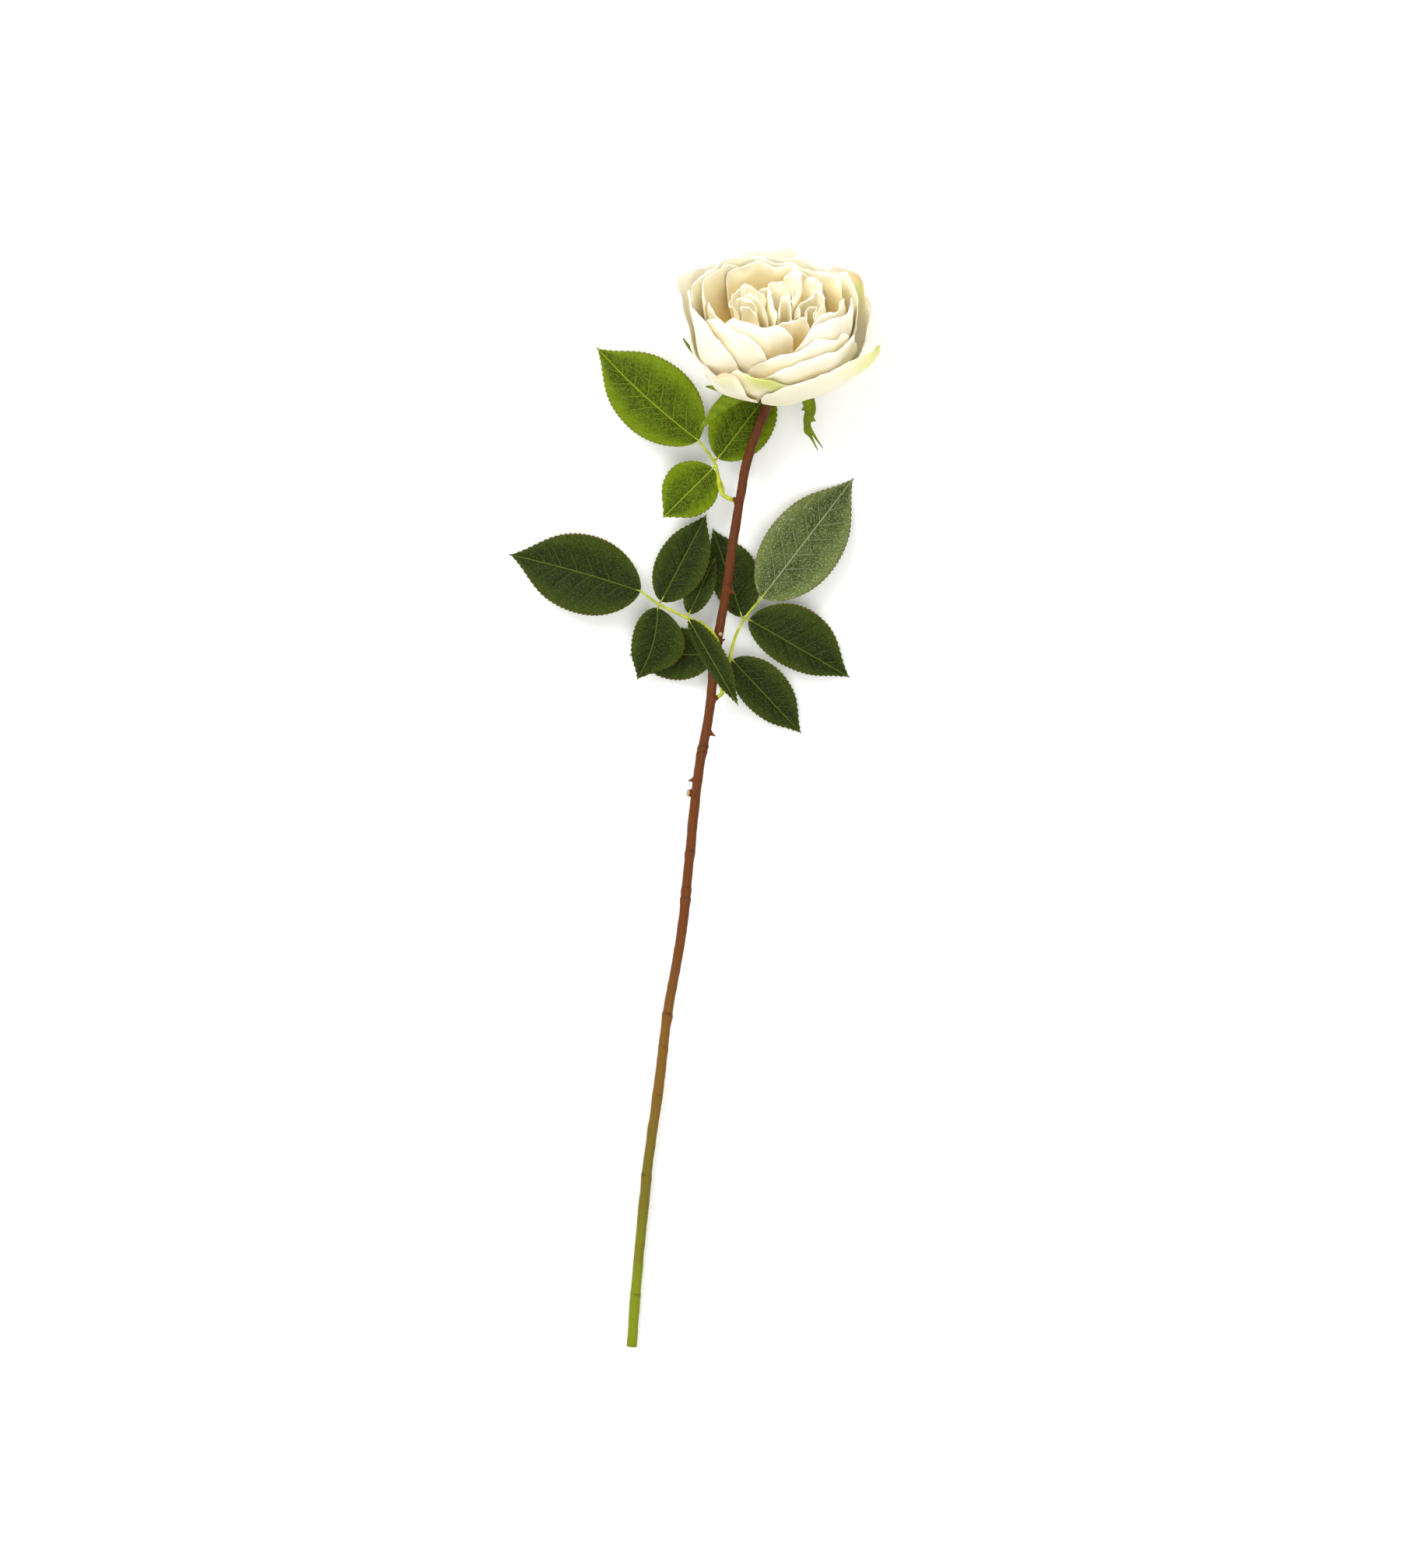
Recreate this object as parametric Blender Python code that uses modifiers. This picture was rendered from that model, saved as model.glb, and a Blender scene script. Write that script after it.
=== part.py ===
"""A cut garden rose lying on a surface: a cupped bloom, a stem and three leaves.

The rose lies in the XY plane with its stem along Y. The origin is under the
middle of the whole rose, on the surface that it lies on. Sizes are in mm and
become metres when a mesh is made.
"""

import math

import bmesh
import bpy
from mathutils import Euler, Vector

MM = 0.001

# The bloom stands on the end of the stem, bent back from the surface.
BLOOM_BASE = Vector((41.0, 234.8, 30.15))
BLOOM_TILT = 60.0
BLOOM_LEAN = 6.0
OUTER_RIM_RADIUS = 50.5
WHORL_STEP = 2.35
RIM_HEIGHT = 60.0
BELLY = 1.22
DROOP = 12.5
WHORL_ROOT_STEP = 2.1
LOW_SPREAD = 0.8
LOW_LIFT = 1.6
BELLY_LEVEL = 0.52
PETAL_THICKNESS = 0.4
PETAL_COLUMNS = 7
PETAL_ROWS = 8

# The petals wander by this much from true circles, away from the core.
SWAY = 1.4
SWAY_RADIUS = 40.0

# Petals press flat where the bloom lies on the surface.
PRESS_START = 8.0
PRESS_DEPTH = 4.0

# The core that the petals grow from.
CORE_RADIUS = 9.0
CORE_TOP_RADIUS = 11.4
CORE_TOP = 16.6
HIP_DEPTH = 12.0
PETAL_CLEARANCE = 0.9

# The folded petals in the middle, which stand on the core.
NEST_FLOOR = 17.2
NEST_TOP = 57.0
NEST_ROOT_SCALE = 0.42
NEST_COLUMNS = 14
NEST_ROWS = 5

STEM_RADIUS = 2.75
STEM_SPACING = 6.5
LEAF_THICKNESS = 0.45
LEAF_COLUMNS = 4
LEAF_ROWS = 8
RACHIS_RADIUS = 0.85
SEPAL_THICKNESS = 0.6

# name, whorl from outside, direction in degrees, half angle, reach, rise, flare,
# left tuck, right tuck, how much the corners drop
CUP_PETALS = (
    ("guard_petal_1", 0, 318, 50, 0.76, 0.12, 0.5, 1.1, 1.1, 0.24),
    ("guard_petal_2", 0, 232, 31, 0.56, 0.02, 0.0, 2.8, 0.4, 0.24),
    ("guard_petal_3", 0, 90, 38, 0.93, 0.00, 4.4, 1.1, 0.0, 0.28),
    ("guard_petal_4", 1, 33, 40, 0.95, 0.00, 2.5, 1.1, 1.1, 0.16),
    ("guard_petal_5", 1, 269, 44, 0.60, 0.04, 0.5, 1.1, 1.1, 0.24),
    ("guard_petal_6", 1, 152, 38, 0.88, -0.02, 4.0, 0.3, 3.4, 0.30),
    ("cup_petal_1", 2, 306, 50, 0.80, 0.08, 1.0, 1.1, 1.1, 0.24),
    ("cup_petal_2", 2, 205, 44, 0.87, -0.09, 0.0, 1.0, 2.6, 0.24),
    ("cup_petal_3", 2, 84, 44, 0.97, -0.03, 0.0, 1.1, 1.1, 0.16),
    ("cup_petal_4", 3, 296, 46, 0.86, 0.08, 0.0, 1.1, 1.1, 0.24),
    ("cup_petal_5", 3, 140, 43, 0.91, -0.02, 0.0, 1.1, 1.1, 0.16),
    ("cup_petal_6", 3, 24, 40, 0.97, 0.00, 0.0, 1.1, 1.1, 0.20),
    ("cup_petal_7", 4, 234, 42, 0.86, -0.02, 0.0, 1.1, 1.1, 0.24),
    ("cup_petal_8", 4, 329, 49, 0.97, 0.03, 0.0, 1.1, 1.1, 0.12),
    ("cup_petal_9", 4, 105, 42, 0.96, -0.02, 0.0, 1.1, 1.1, 0.12),
    ("inner_petal_1", 5, 250, 41, 0.92, 0.05, 0.0, 1.1, 8.0, 0.14),
    ("inner_petal_2", 5, 50, 46, 0.98, 0.00, 0.0, 1.1, 1.1, 0.14),
    ("inner_petal_3", 5, 150, 46, 0.91, 0.00, 0.0, 1.1, 1.1, 0.14),
    ("inner_petal_4", 6, 334, 40, 0.98, 0.02, 0.0, 2.5, 1.1, 0.12),
    ("inner_petal_5", 6, 206, 38, 0.86, -0.04, 0.0, 1.1, 1.1, 0.24),
    ("inner_petal_6", 6, 90, 48, 0.95, 0.00, 0.0, 1.1, 1.1, 0.10),
)

# One guard petal's tip stands out from the cup, this far and this far across it.
TIP_FLARES = {"guard_petal_1": 9.0}
TIP_PLACE = 0.5
TIP_WIDTH = 0.4

# name, top height, the line that the folded petal follows seen along the axis
NEST_PETALS = (
    ("folded_petal_1", 56, (
        (-22, 7.6), (-18.7, 6.3), (-13.3, 8.5), (-11, 5.4), (-10.4, -0.5), (-8.6, -2.6))),
    ("folded_petal_2", 50, ((-14.5, 20), (-22, 14), (-26.5, 4), (-28, -7), (-26.5, -17))),
    ("folded_petal_3", 57, (
        (-0.5, -26.5), (-1.5, -20), (-4.2, -11), (-6, -3), (-5.6, 6), (-3.5, 11.5), (1, 13.2), (4.5, 12),
        (6.5, 7), (6.2, 1))),
    ("folded_petal_4", 57, ((-3, 17), (2, 18), (6.5, 15.5), (9, 10), (8.6, 3))),
    ("folded_petal_5", 58, ((3, 25), (8, 28), (12.5, 24), (14.4, 16), (13.2, 8), (10.8, 1), (9.6, -3))),
    ("folded_petal_6", 56, (
        (11, -14), (12.3, -4), (16, 3.6), (20.5, 8), (25.5, 8), (30, 3.8), (29.5, -6), (28, -13),
        (24.5, -19))),
    ("folded_petal_7", 56, (
        (1.3, -25), (1, -17), (1.8, -9.3), (5.6, -6.6), (8, -10.5), (9, -16), (9.6, -21))),
    ("folded_petal_8", 55, ((-25, -9.5), (-23, -6.6), (-19.6, -8), (-16, -8.6), (-12.4, -10), (-11, -14))),
    ("folded_petal_9", 56, ((-17, -3.5), (-13.5, -5.4), (-9.6, -10), (-6, -15), (-4, -21))),
    ("folded_petal_10", 50, ((-13, 15), (-8, 18.5), (-4, 21.5), (0, 24))),
    ("folded_petal_11", 56, ((16.5, 27.5), (22.5, 23), (27, 16), (30.5, 10))),
    ("folded_petal_12", 53, ((17, -15), (18.5, -6), (22.5, -1.5), (25.5, -6), (25, -14))),
    ("folded_petal_13", 53, ((-25, -18), (-20, -15.6), (-15.5, -15), (-12, -18), (-10.5, -24))),
    ("folded_petal_14", 55, ((-4, -32.5), (2, -31), (8, -28), (13.5, -23), (18.5, -23.5), (22, -28))),
)

# The stem from its cut end to just under the bloom.
STEM_ROUTE = (
    (-36.0, -309.5, 2.8),
    (-33.0, -269.0, 3.6),
    (-27.0, -208.0, 5.5),
    (-21.0, -164.0, 7.0),
    (-15.6, -120.0, 8.5),
    (-8.0, -76.0, 10.0),
    (-3.3, -32.0, 11.4),
    (1.3, 12.0, 13.0),
    (7.5, 47.5, 14.5),
    (11.4, 82.7, 15.6),
    (17.4, 118.0, 17.0),
    (22.4, 153.0, 18.2),
    (28.5, 188.0, 19.6),
    (34.5, 207.0, 21.4),
)

# Where on the stem's route, the way it points, its length and its root radius.
SPURS = (
    ("thorn", 118.0, (0.8, -0.3, 0.5), 7.0, 1.5),
    ("thorn", 88.0, (1.0, 0.6, 0.3), 5.5, 1.4),
    ("thorn", 38.0, (1.0, -0.5, 0.2), 6.5, 1.4),
    ("thorn", 11.0, (-1.0, -0.1, 0.3), 6.0, 1.5),
    ("stub", 167.0, (-0.8, 0.5, 0.1), 4.4, 1.7),
    ("stub", 94.5, (0.2, -0.4, 1.0), 4.6, 1.6),
    ("stub", 55.5, (1.0, 0.5, 0.0), 4.6, 1.8),
    ("stub", 3.0, (-1.0, 0.1, 0.5), 5.0, 2.1),
)

# name, the points of the leaf stalk from the stem to the end leaflet
RACHISES = (
    ("rachis_1", (
        (15.4, 171.5, 18.6), (13.5, 178.5, 17.8), (11.0, 189.0, 17.0), (6.0, 196.5, 16.2),
        (3.2, 200.4, 15.6))),
    ("rachis_2", (
        (11.0, 91.5, 22.3), (4.0, 98.5, 20.0), (-4.8, 102.3, 16.5), (-20.2, 109.8, 13.5),
        (-29.4, 116.2, 12.2))),
    ("rachis_3", (
        (15.2, 60.2, 14.6), (17.0, 70.0, 14.2), (19.3, 80.0, 13.9), (23.0, 93.0, 13.7), (28.5, 103.0, 13.6),
        (36.2, 112.4, 13.4))),
)

# name, base, tip, half width left and right of the midrib, fold, arch, bend, roll
LEAFLETS = (
    ("leaflet_1a", (1.6, 202.2, 15.3), (-55.9, 255.4, 0.3), 19.0, 24.0, 0.10, 4.0, -2.0, 0.0),
    ("leaflet_1b", (12.6, 192.2, 14.6), (46.0, 235.5, 9.0), 18.0, 16.0, 0.08, -1.0, 0.0, 0.0),
    ("leaflet_1c", (9.8, 186.6, 14.6), (-18.5, 158.6, 13.8), 14.5, 16.0, 0.02, 0.8, 0.0, 0.0),
    ("leaflet_2a", (-31.0, 117.4, 12.0), (-105.2, 138.4, 0.3), 22.5, 21.5, 0.10, 3.0, 1.0, 0.0),
    ("leaflet_2b", (-21.2, 107.9, 12.4), (-33.0, 67.5, 7.0), 17.5, 12.0, 0.08, 2.0, -3.0, 0.0),
    ("leaflet_2c", (-19.4, 111.6, 12.0), (6.2, 160.8, 8.6), 13.5, 14.5, 0.10, 1.0, 0.0, 0.0),
    ("leaflet_2d", (-3.6, 104.6, 14.0), (11.4, 137.1, 6.8), 8.0, 7.0, 0.10, -1.0, 0.0, 0.0),
    ("leaflet_2e", (-3.6, 101.0, 19.0), (24.2, 52.6, 22.5), 8.0, 5.0, -0.20, 3.0, 0.0, -0.9),
    ("leaflet_3a", (37.4, 113.8, 13.3), (89.3, 181.5, 0.3), 20.0, 22.0, 0.10, 2.0, 0.0, 0.0),
    ("leaflet_3b", (26.2, 103.0, 11.0), (9.7, 152.9, 2.0), 10.0, 17.0, 0.02, -2.0, 0.0, 0.0),
    ("leaflet_3c", (30.2, 101.4, 13.0), (87.1, 68.9, 0.4), 21.5, 12.5, 0.08, 3.0, 0.0, 0.0),
    ("leaflet_3d", (20.8, 78.6, 13.0), (59.8, 37.2, 0.4), 15.0, 11.5, 0.08, 2.0, 0.0, 0.0),
    ("leaflet_3e", (11.0, 81.6, 10.6), (-37.4, 81.6, 1.2), 14.0, 15.0, 0.02, -2.0, 0.0, 0.0),
)

# name, the line down its middle from the hip, its widest half width
LOOSE_SEPALS = (
    ("sepal_1", ((32.0, 227.6, 31.6), (24.0, 227.4, 31.6), (12.0, 219.0, 27.0), (2.2, 207.5, 23.0)), 6.5),
    ("sepal_2", ((50.0, 228.6, 25.4), (60.5, 226.6, 25.6), (67.0, 215.5, 24.4), (71.5, 196.0, 21.0)), 5.2),
    ("sepal_4", ((35.6, 230.6, 20.2), (25.0, 230.0, 19.6), (15.0, 231.0, 20.5), (5.5, 232.4, 21.0)), 4.2),
)

# name, the whorl it lies against, direction, half angle, reach, flare of the tip
CLINGING_SEPALS = (
    ("sepal_3", 0.2, 166, 9, 0.52, 6.0),
    ("sepal_5", -1.0, 48, 9, 0.62, 1.0),
)


def bloom_matrix():
    """Return the rotation that stands the bloom on the end of the stem."""
    turn = Euler((math.radians(-BLOOM_TILT), 0.0, math.radians(-BLOOM_LEAN)))
    return turn.to_matrix()


BLOOM_TURN = bloom_matrix()


def clear_scene():
    """Remove every object that the scene starts with."""
    for thing in list(bpy.data.objects):
        bpy.data.objects.remove(thing)


def new_collection(name):
    """Return a new collection linked to the scene."""
    collection = bpy.data.collections.new(name)
    bpy.context.scene.collection.children.link(collection)
    return collection


def make_material(name, colour, roughness):
    """Return a plain Principled material."""
    material = bpy.data.materials.new(name)
    material.use_nodes = True
    shader = material.node_tree.nodes["Principled BSDF"]
    shader.inputs["Base Color"].default_value = (*colour, 1.0)
    shader.inputs["Roughness"].default_value = roughness
    shader.inputs["Metallic"].default_value = 0.0
    return material


def curve_point(points, share):
    """Return the point at a share of the way along a smooth line through points."""
    last = len(points) - 1
    place = min(max(share, 0.0), 1.0) * last
    index = min(int(place), last - 1)
    f = place - index
    near = [Vector(points[min(max(index + step, 0), last)]) for step in (-1, 0, 1, 2)]
    straight = (near[2] - near[0]) * f
    bend = (2 * near[0] - 5 * near[1] + 4 * near[2] - near[3]) * f * f
    settle = (3 * near[1] - near[0] - 3 * near[2] + near[3]) * f ** 3
    return (2 * near[1] + straight + bend + settle) * 0.5


def ease(value):
    """Return a smooth step from 0 to 1."""
    value = min(max(value, 0.0), 1.0)
    return value * value * (3.0 - 2.0 * value)


def add_sheet(name, shape, columns, rows, thickness, material, collection):
    """Add a thin closed sheet whose points come from shape(across, along) in mm."""
    mesh = bpy.data.meshes.new(name)
    sheet = bmesh.new()
    bmesh.ops.create_grid(sheet, x_segments=columns, y_segments=rows, size=1.0)
    for vertex in sheet.verts:
        across = vertex.co.x
        along = (vertex.co.y + 1.0) / 2.0
        vertex.co = shape(across, along) * MM
    sheet.to_mesh(mesh)
    sheet.free()
    mesh.shade_smooth()
    thing = bpy.data.objects.new(name, mesh)
    thing.data.materials.append(material)
    wall = thing.modifiers.new("thickness", "SOLIDIFY")
    wall.thickness = thickness * MM
    wall.offset = 0.0
    collection.objects.link(thing)
    return thing


def core_radius(height):
    """Return the core's radius at a height above the bloom's base."""
    share = min(max(height / CORE_TOP, 0.0), 1.0)
    return CORE_RADIUS + (CORE_TOP_RADIUS - CORE_RADIUS) * share


def cup_profile(whorl, share):
    """Return radius and height along the curved wall of one whorl of petals."""
    rim = OUTER_RIM_RADIUS - WHORL_STEP * whorl
    root = WHORL_ROOT_STEP * whorl
    start = (core_radius(root) + PETAL_CLEARANCE, root)
    low = (rim * LOW_SPREAD, root * LOW_LIFT - DROOP)
    belly = (rim * BELLY, RIM_HEIGHT * BELLY_LEVEL)
    end = (rim, RIM_HEIGHT)
    rest = 1.0 - share
    weights = (rest ** 3, 3 * rest * rest * share, 3 * rest * share * share, share ** 3)
    corners = (start, low, belly, end)
    radius = sum(weight * corner[0] for weight, corner in zip(weights, corners))
    height = sum(weight * corner[1] for weight, corner in zip(weights, corners))
    return radius, height


def sway(point):
    """Return a bloom point moved a little, so that no whorl is truly round."""
    x, y, z = point
    share = ease(math.hypot(x, y) / SWAY_RADIUS)
    across = SWAY * share * math.sin(z * 0.075 + y * 0.05)
    back = SWAY * share * math.sin(x * 0.07 + z * 0.06 + 1.0)
    up = SWAY * share * math.sin(x * 0.08 + 0.5) * math.cos(y * 0.07) * min(1.0, z / 30.0)
    return Vector((x + across, y + back, z + up))


def place_in_bloom(point):
    """Return a bloom point in the rose's own frame, pressed where it touches."""
    placed = BLOOM_BASE + BLOOM_TURN @ sway(point)
    if placed.z < PRESS_START:
        slope = PRESS_START / (PRESS_START + PRESS_DEPTH)
        placed.z = PRESS_START - (PRESS_START - placed.z) * slope
    return placed


def petal_width(along):
    """Return how wide a petal is at a share of its length, from 0 to 1."""
    width = 0.85 + 0.15 * math.sin(min(1.0, along / 0.7) * math.pi / 2)
    if along > 0.7:
        width *= 1.0 - 0.12 * ((along - 0.7) / 0.3) ** 2
    return width


def cup_petal_shape(name, whorl, direction, half_angle, reach, rise, flare, left_tuck, right_tuck, corner):
    """Return the function that shapes one petal of the cup."""
    tip_flare = TIP_FLARES.get(name, 0.0)

    def shape(across, along):
        share = along * reach * (1.0 - corner * abs(across) ** 4 + rise * across)
        radius, height = cup_profile(whorl, share)
        radius += flare * ease((along - 0.4) / 0.6)
        stand = math.exp(-(((across - TIP_PLACE) / TIP_WIDTH) ** 2))
        radius += tip_flare * stand * ease((along - 0.5) / 0.5)
        tuck = right_tuck if across > 0 else left_tuck
        radius -= tuck * ease((abs(across) - 0.1) / 0.9) * ease((along - 0.25) / 0.5)
        angle = math.radians(direction + half_angle * petal_width(along) * across)
        return place_in_bloom((radius * math.cos(angle), radius * math.sin(angle), height))
    return shape


def folded_petal_shape(top, line):
    """Return the function that shapes one upright folded petal of the nest."""
    def shape(across, along):
        edge = top * (1.0 - 0.06 * abs(across) ** 3)
        height = NEST_FLOOR + (edge - NEST_FLOOR) * along
        share = (height - NEST_FLOOR) / (NEST_TOP - NEST_FLOOR)
        scale = NEST_ROOT_SCALE + (1.0 - NEST_ROOT_SCALE) * max(share, 0.0) ** 0.75
        flat = curve_point(line, (across + 1.0) / 2.0) * scale
        return place_in_bloom((flat.x, flat.y, height))
    return shape


def leaf_outline(along):
    """Return the width of an egg-shaped leaflet at a share of its length."""
    along = min(max(along, 0.0), 1.0)
    return max(0.03, math.sin(math.pi * along ** 0.8) ** 0.75)


def leaflet_shape(base, tip, left, right, fold, arch, bend, roll):
    """Return the function that shapes one leaflet."""
    start = Vector(base)
    end = Vector(tip)
    ahead = Vector((end.x - start.x, end.y - start.y, 0.0)).normalized()
    side = Vector((ahead.y, -ahead.x, 0.0))

    def shape(across, along):
        width = (right if across > 0 else left) * leaf_outline(along) * across
        swell = math.sin(math.pi * along)
        height = fold * abs(width) + arch * swell + roll * width
        return start.lerp(end, along) + side * (width + bend * swell) + Vector((0, 0, height))
    return shape


def loose_sepal_shape(line, half_width):
    """Return the function that shapes a sepal that hangs away from the cup."""
    def shape(across, along):
        here = curve_point(line, along)
        ahead = curve_point(line, along + 0.02) - curve_point(line, along - 0.02)
        side = ahead.cross(Vector((0.0, 0.0, 1.0)))
        if side.length < 0.3 * ahead.length:
            side = Vector((1.0, 0.0, 0.0))
        width = half_width * max(0.1, (1.0 - along) ** 0.6 * (0.55 + 0.45 * math.sin(math.pi * along)))
        return here + side.normalized() * width * across
    return shape


def clinging_sepal_shape(whorl, direction, half_angle, reach, tip_flare):
    """Return the function that shapes a sepal that lies against the cup."""
    def shape(across, along):
        radius, height = cup_profile(whorl, along * reach)
        radius += 0.8 + tip_flare * ease((along - 0.6) / 0.4)
        width = half_angle * max(0.08, 1.0 - along) ** 0.7
        angle = math.radians(direction + width * across)
        return place_in_bloom((radius * math.cos(angle), radius * math.sin(angle), height - 1.2))
    return shape


def add_tube(name, points, radius, material, collection, swell=None):
    """Add a round closed tube along the points, given in mm."""
    curve = bpy.data.curves.new(name, "CURVE")
    curve.dimensions = "3D"
    curve.bevel_depth = radius * MM
    curve.bevel_resolution = 2
    curve.use_fill_caps = True
    spline = curve.splines.new("POLY")
    spline.points.add(len(points) - 1)
    for index, point in enumerate(points):
        spline.points[index].co = (*(point * MM), 1.0)
        spline.points[index].radius = swell(index / (len(points) - 1)) if swell else 1.0
    thing = bpy.data.objects.new(name, curve)
    collection.objects.link(thing)
    bpy.context.view_layer.update()
    seen = thing.evaluated_get(bpy.context.evaluated_depsgraph_get())
    mesh = bpy.data.meshes.new_from_object(seen)
    mesh.name = name
    bpy.data.objects.remove(thing)
    solid = bmesh.new()
    solid.from_mesh(mesh)
    bmesh.ops.remove_doubles(solid, verts=solid.verts, dist=0.00001)
    solid.to_mesh(mesh)
    solid.free()
    mesh.materials.clear()
    mesh.materials.append(material)
    mesh.shade_smooth()
    tube = bpy.data.objects.new(name, mesh)
    collection.objects.link(tube)
    return tube


def route_points(route, spacing):
    """Return evenly spaced points on a smooth line through the route."""
    fine = [curve_point(route, step / 600.0) for step in range(601)]
    length = sum((after - before).length for before, after in zip(fine, fine[1:]))
    count = max(2, round(length / spacing))
    points = [fine[0]]
    walked = 0.0
    for before, after in zip(fine, fine[1:]):
        walked += (after - before).length
        if walked >= len(points) * length / count and len(points) < count:
            points.append(after)
    points.append(fine[-1])
    return points


def stem_swell(share):
    """Return the stem's thickness from its cut end (0) to the bloom (1)."""
    return 1.04 - 0.10 * share + 0.16 * ease((share - 0.95) / 0.05)


def add_spur(kind, centre, pointing, length, radius, cutters):
    """Add one thorn or stub as a cutter-collection cone to be joined on."""
    tip_radius = 0.25 if kind == "thorn" else radius * 0.72
    cone = bmesh.new()
    bmesh.ops.create_cone(
        cone, cap_ends=True, segments=8, radius1=radius * MM, radius2=tip_radius * MM,
        depth=length * MM)
    bmesh.ops.translate(cone, verts=cone.verts, vec=(0.0, 0.0, length * MM / 2))
    mesh = bpy.data.meshes.new(kind)
    cone.to_mesh(mesh)
    cone.free()
    thing = bpy.data.objects.new(kind, mesh)
    thing.location = centre * MM
    thing.rotation_mode = "QUATERNION"
    thing.rotation_quaternion = Vector(pointing).to_track_quat("Z", "Y")
    thing.hide_render = True
    thing.display_type = "WIRE"
    cutters.objects.link(thing)
    return thing


def add_stem(material, collection, cutters):
    """Add the stem with its thorns, its leaf joints and one pruned side shoot."""
    neck = [BLOOM_BASE - BLOOM_TURN.col[2] * (HIP_DEPTH + below) for below in (6.0, 0.4)]
    route = STEM_ROUTE + tuple(neck)
    points = route_points(route, STEM_SPACING)
    stem = add_tube("stem", points, STEM_RADIUS, material, collection, stem_swell)
    for kind, height, pointing, length, radius in SPURS:
        centre = min(points, key=lambda point: abs(point.y - height))
        spur = add_spur(kind, centre, pointing, length, radius, cutters)
        join = stem.modifiers.new(kind, "BOOLEAN")
        join.operation = "UNION"
        join.solver = "EXACT"
        join.object = spur
    return stem


def add_receptacle(material, collection):
    """Add the hip and the core above it, turned about the bloom's axis."""
    profile = (
        (0.0, CORE_TOP),
        (CORE_TOP_RADIUS, CORE_TOP),
        (CORE_RADIUS, 0.0),
        (CORE_RADIUS * 0.9, -3.5),
        (6.6, -7.0),
        (4.0, -10.5),
        (3.4, -HIP_DEPTH),
        (0.0, -HIP_DEPTH),
    )
    mesh = bpy.data.meshes.new("receptacle")
    mesh.from_pydata([(x * MM, 0.0, z * MM) for x, z in profile],
                     [(i, i + 1) for i in range(len(profile) - 1)], [])
    thing = bpy.data.objects.new("receptacle", mesh)
    thing.data.materials.append(material)
    turned = thing.modifiers.new("turned", "SCREW")
    turned.steps = 16
    turned.render_steps = 16
    turned.use_merge_vertices = True
    turned.merge_threshold = 0.00005
    thing.location = BLOOM_BASE * MM
    thing.rotation_euler = BLOOM_TURN.to_euler()
    collection.objects.link(thing)
    return thing


def main():
    """Build the whole rose."""
    clear_scene()
    rose = new_collection("cut_rose")
    cutters = new_collection("cutters")
    ivory = make_material("ivory_petal", (0.90, 0.85, 0.66), 0.6)
    leaf_green = make_material("leaf_green", (0.10, 0.19, 0.02), 0.6)
    stalk_green = make_material("stalk_green", (0.36, 0.42, 0.06), 0.6)
    bark = make_material("stem_bark", (0.30, 0.12, 0.04), 0.5)

    add_stem(bark, rose, cutters)
    add_receptacle(leaf_green, rose)
    for name, *settings in CUP_PETALS:
        shape = cup_petal_shape(name, *settings)
        add_sheet(name, shape, PETAL_COLUMNS, PETAL_ROWS, PETAL_THICKNESS, ivory, rose)
    for name, top, line in NEST_PETALS:
        shape = folded_petal_shape(top, [Vector(point) for point in line])
        add_sheet(name, shape, NEST_COLUMNS, NEST_ROWS, PETAL_THICKNESS, ivory, rose)
    for name, *settings in LEAFLETS:
        shape = leaflet_shape(*settings)
        add_sheet(name, shape, LEAF_COLUMNS, LEAF_ROWS, LEAF_THICKNESS, leaf_green, rose)
    for name, line in RACHISES:
        points = route_points(line, 3.0)
        add_tube(name, points, RACHIS_RADIUS, stalk_green, rose)
    for name, line, half_width in LOOSE_SEPALS:
        shape = loose_sepal_shape(line, half_width)
        add_sheet(name, shape, 2, 7, SEPAL_THICKNESS, leaf_green, rose)
    for name, *settings in CLINGING_SEPALS:
        shape = clinging_sepal_shape(*settings)
        add_sheet(name, shape, 2, 7, SEPAL_THICKNESS, leaf_green, rose)


main()
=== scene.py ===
"""A cut garden rose that lies on a pale surface.

The petals, leaves and stem are modelled here in millimetres, in the frame of the
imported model, and become metres when a mesh is made. The bloom is a nest of curved
walls round a leaning axis: outer guard petals, cup petals, inner cup petals, and
upright folded petals that stand on the core.
"""

from __future__ import annotations

import logging
import math
from collections.abc import Callable, Sequence
from dataclasses import dataclass
from enum import Enum

import bmesh
import bpy
from mathutils import Euler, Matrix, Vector, noise

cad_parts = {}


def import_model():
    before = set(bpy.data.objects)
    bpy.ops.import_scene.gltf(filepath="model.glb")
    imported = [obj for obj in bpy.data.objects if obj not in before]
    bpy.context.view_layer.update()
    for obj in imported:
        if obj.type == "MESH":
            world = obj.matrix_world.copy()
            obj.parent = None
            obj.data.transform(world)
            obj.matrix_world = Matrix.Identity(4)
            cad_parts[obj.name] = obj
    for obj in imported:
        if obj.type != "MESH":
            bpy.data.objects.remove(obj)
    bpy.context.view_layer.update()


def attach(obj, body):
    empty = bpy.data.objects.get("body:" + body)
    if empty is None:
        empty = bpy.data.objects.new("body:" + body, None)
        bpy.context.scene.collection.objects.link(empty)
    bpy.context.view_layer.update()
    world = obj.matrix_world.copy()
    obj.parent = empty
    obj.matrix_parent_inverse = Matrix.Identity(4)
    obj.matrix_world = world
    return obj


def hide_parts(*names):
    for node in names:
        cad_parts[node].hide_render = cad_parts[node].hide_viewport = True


MM = 0.001
SEPAL_WALL = 0.45
LOG = logging.getLogger("cut_rose")

Shape = Callable[[float, float], Vector]
Field = Callable[[float, float], float]
Line = Sequence[Vector]


# ---------------------------------------------------------------- small helpers


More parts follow.
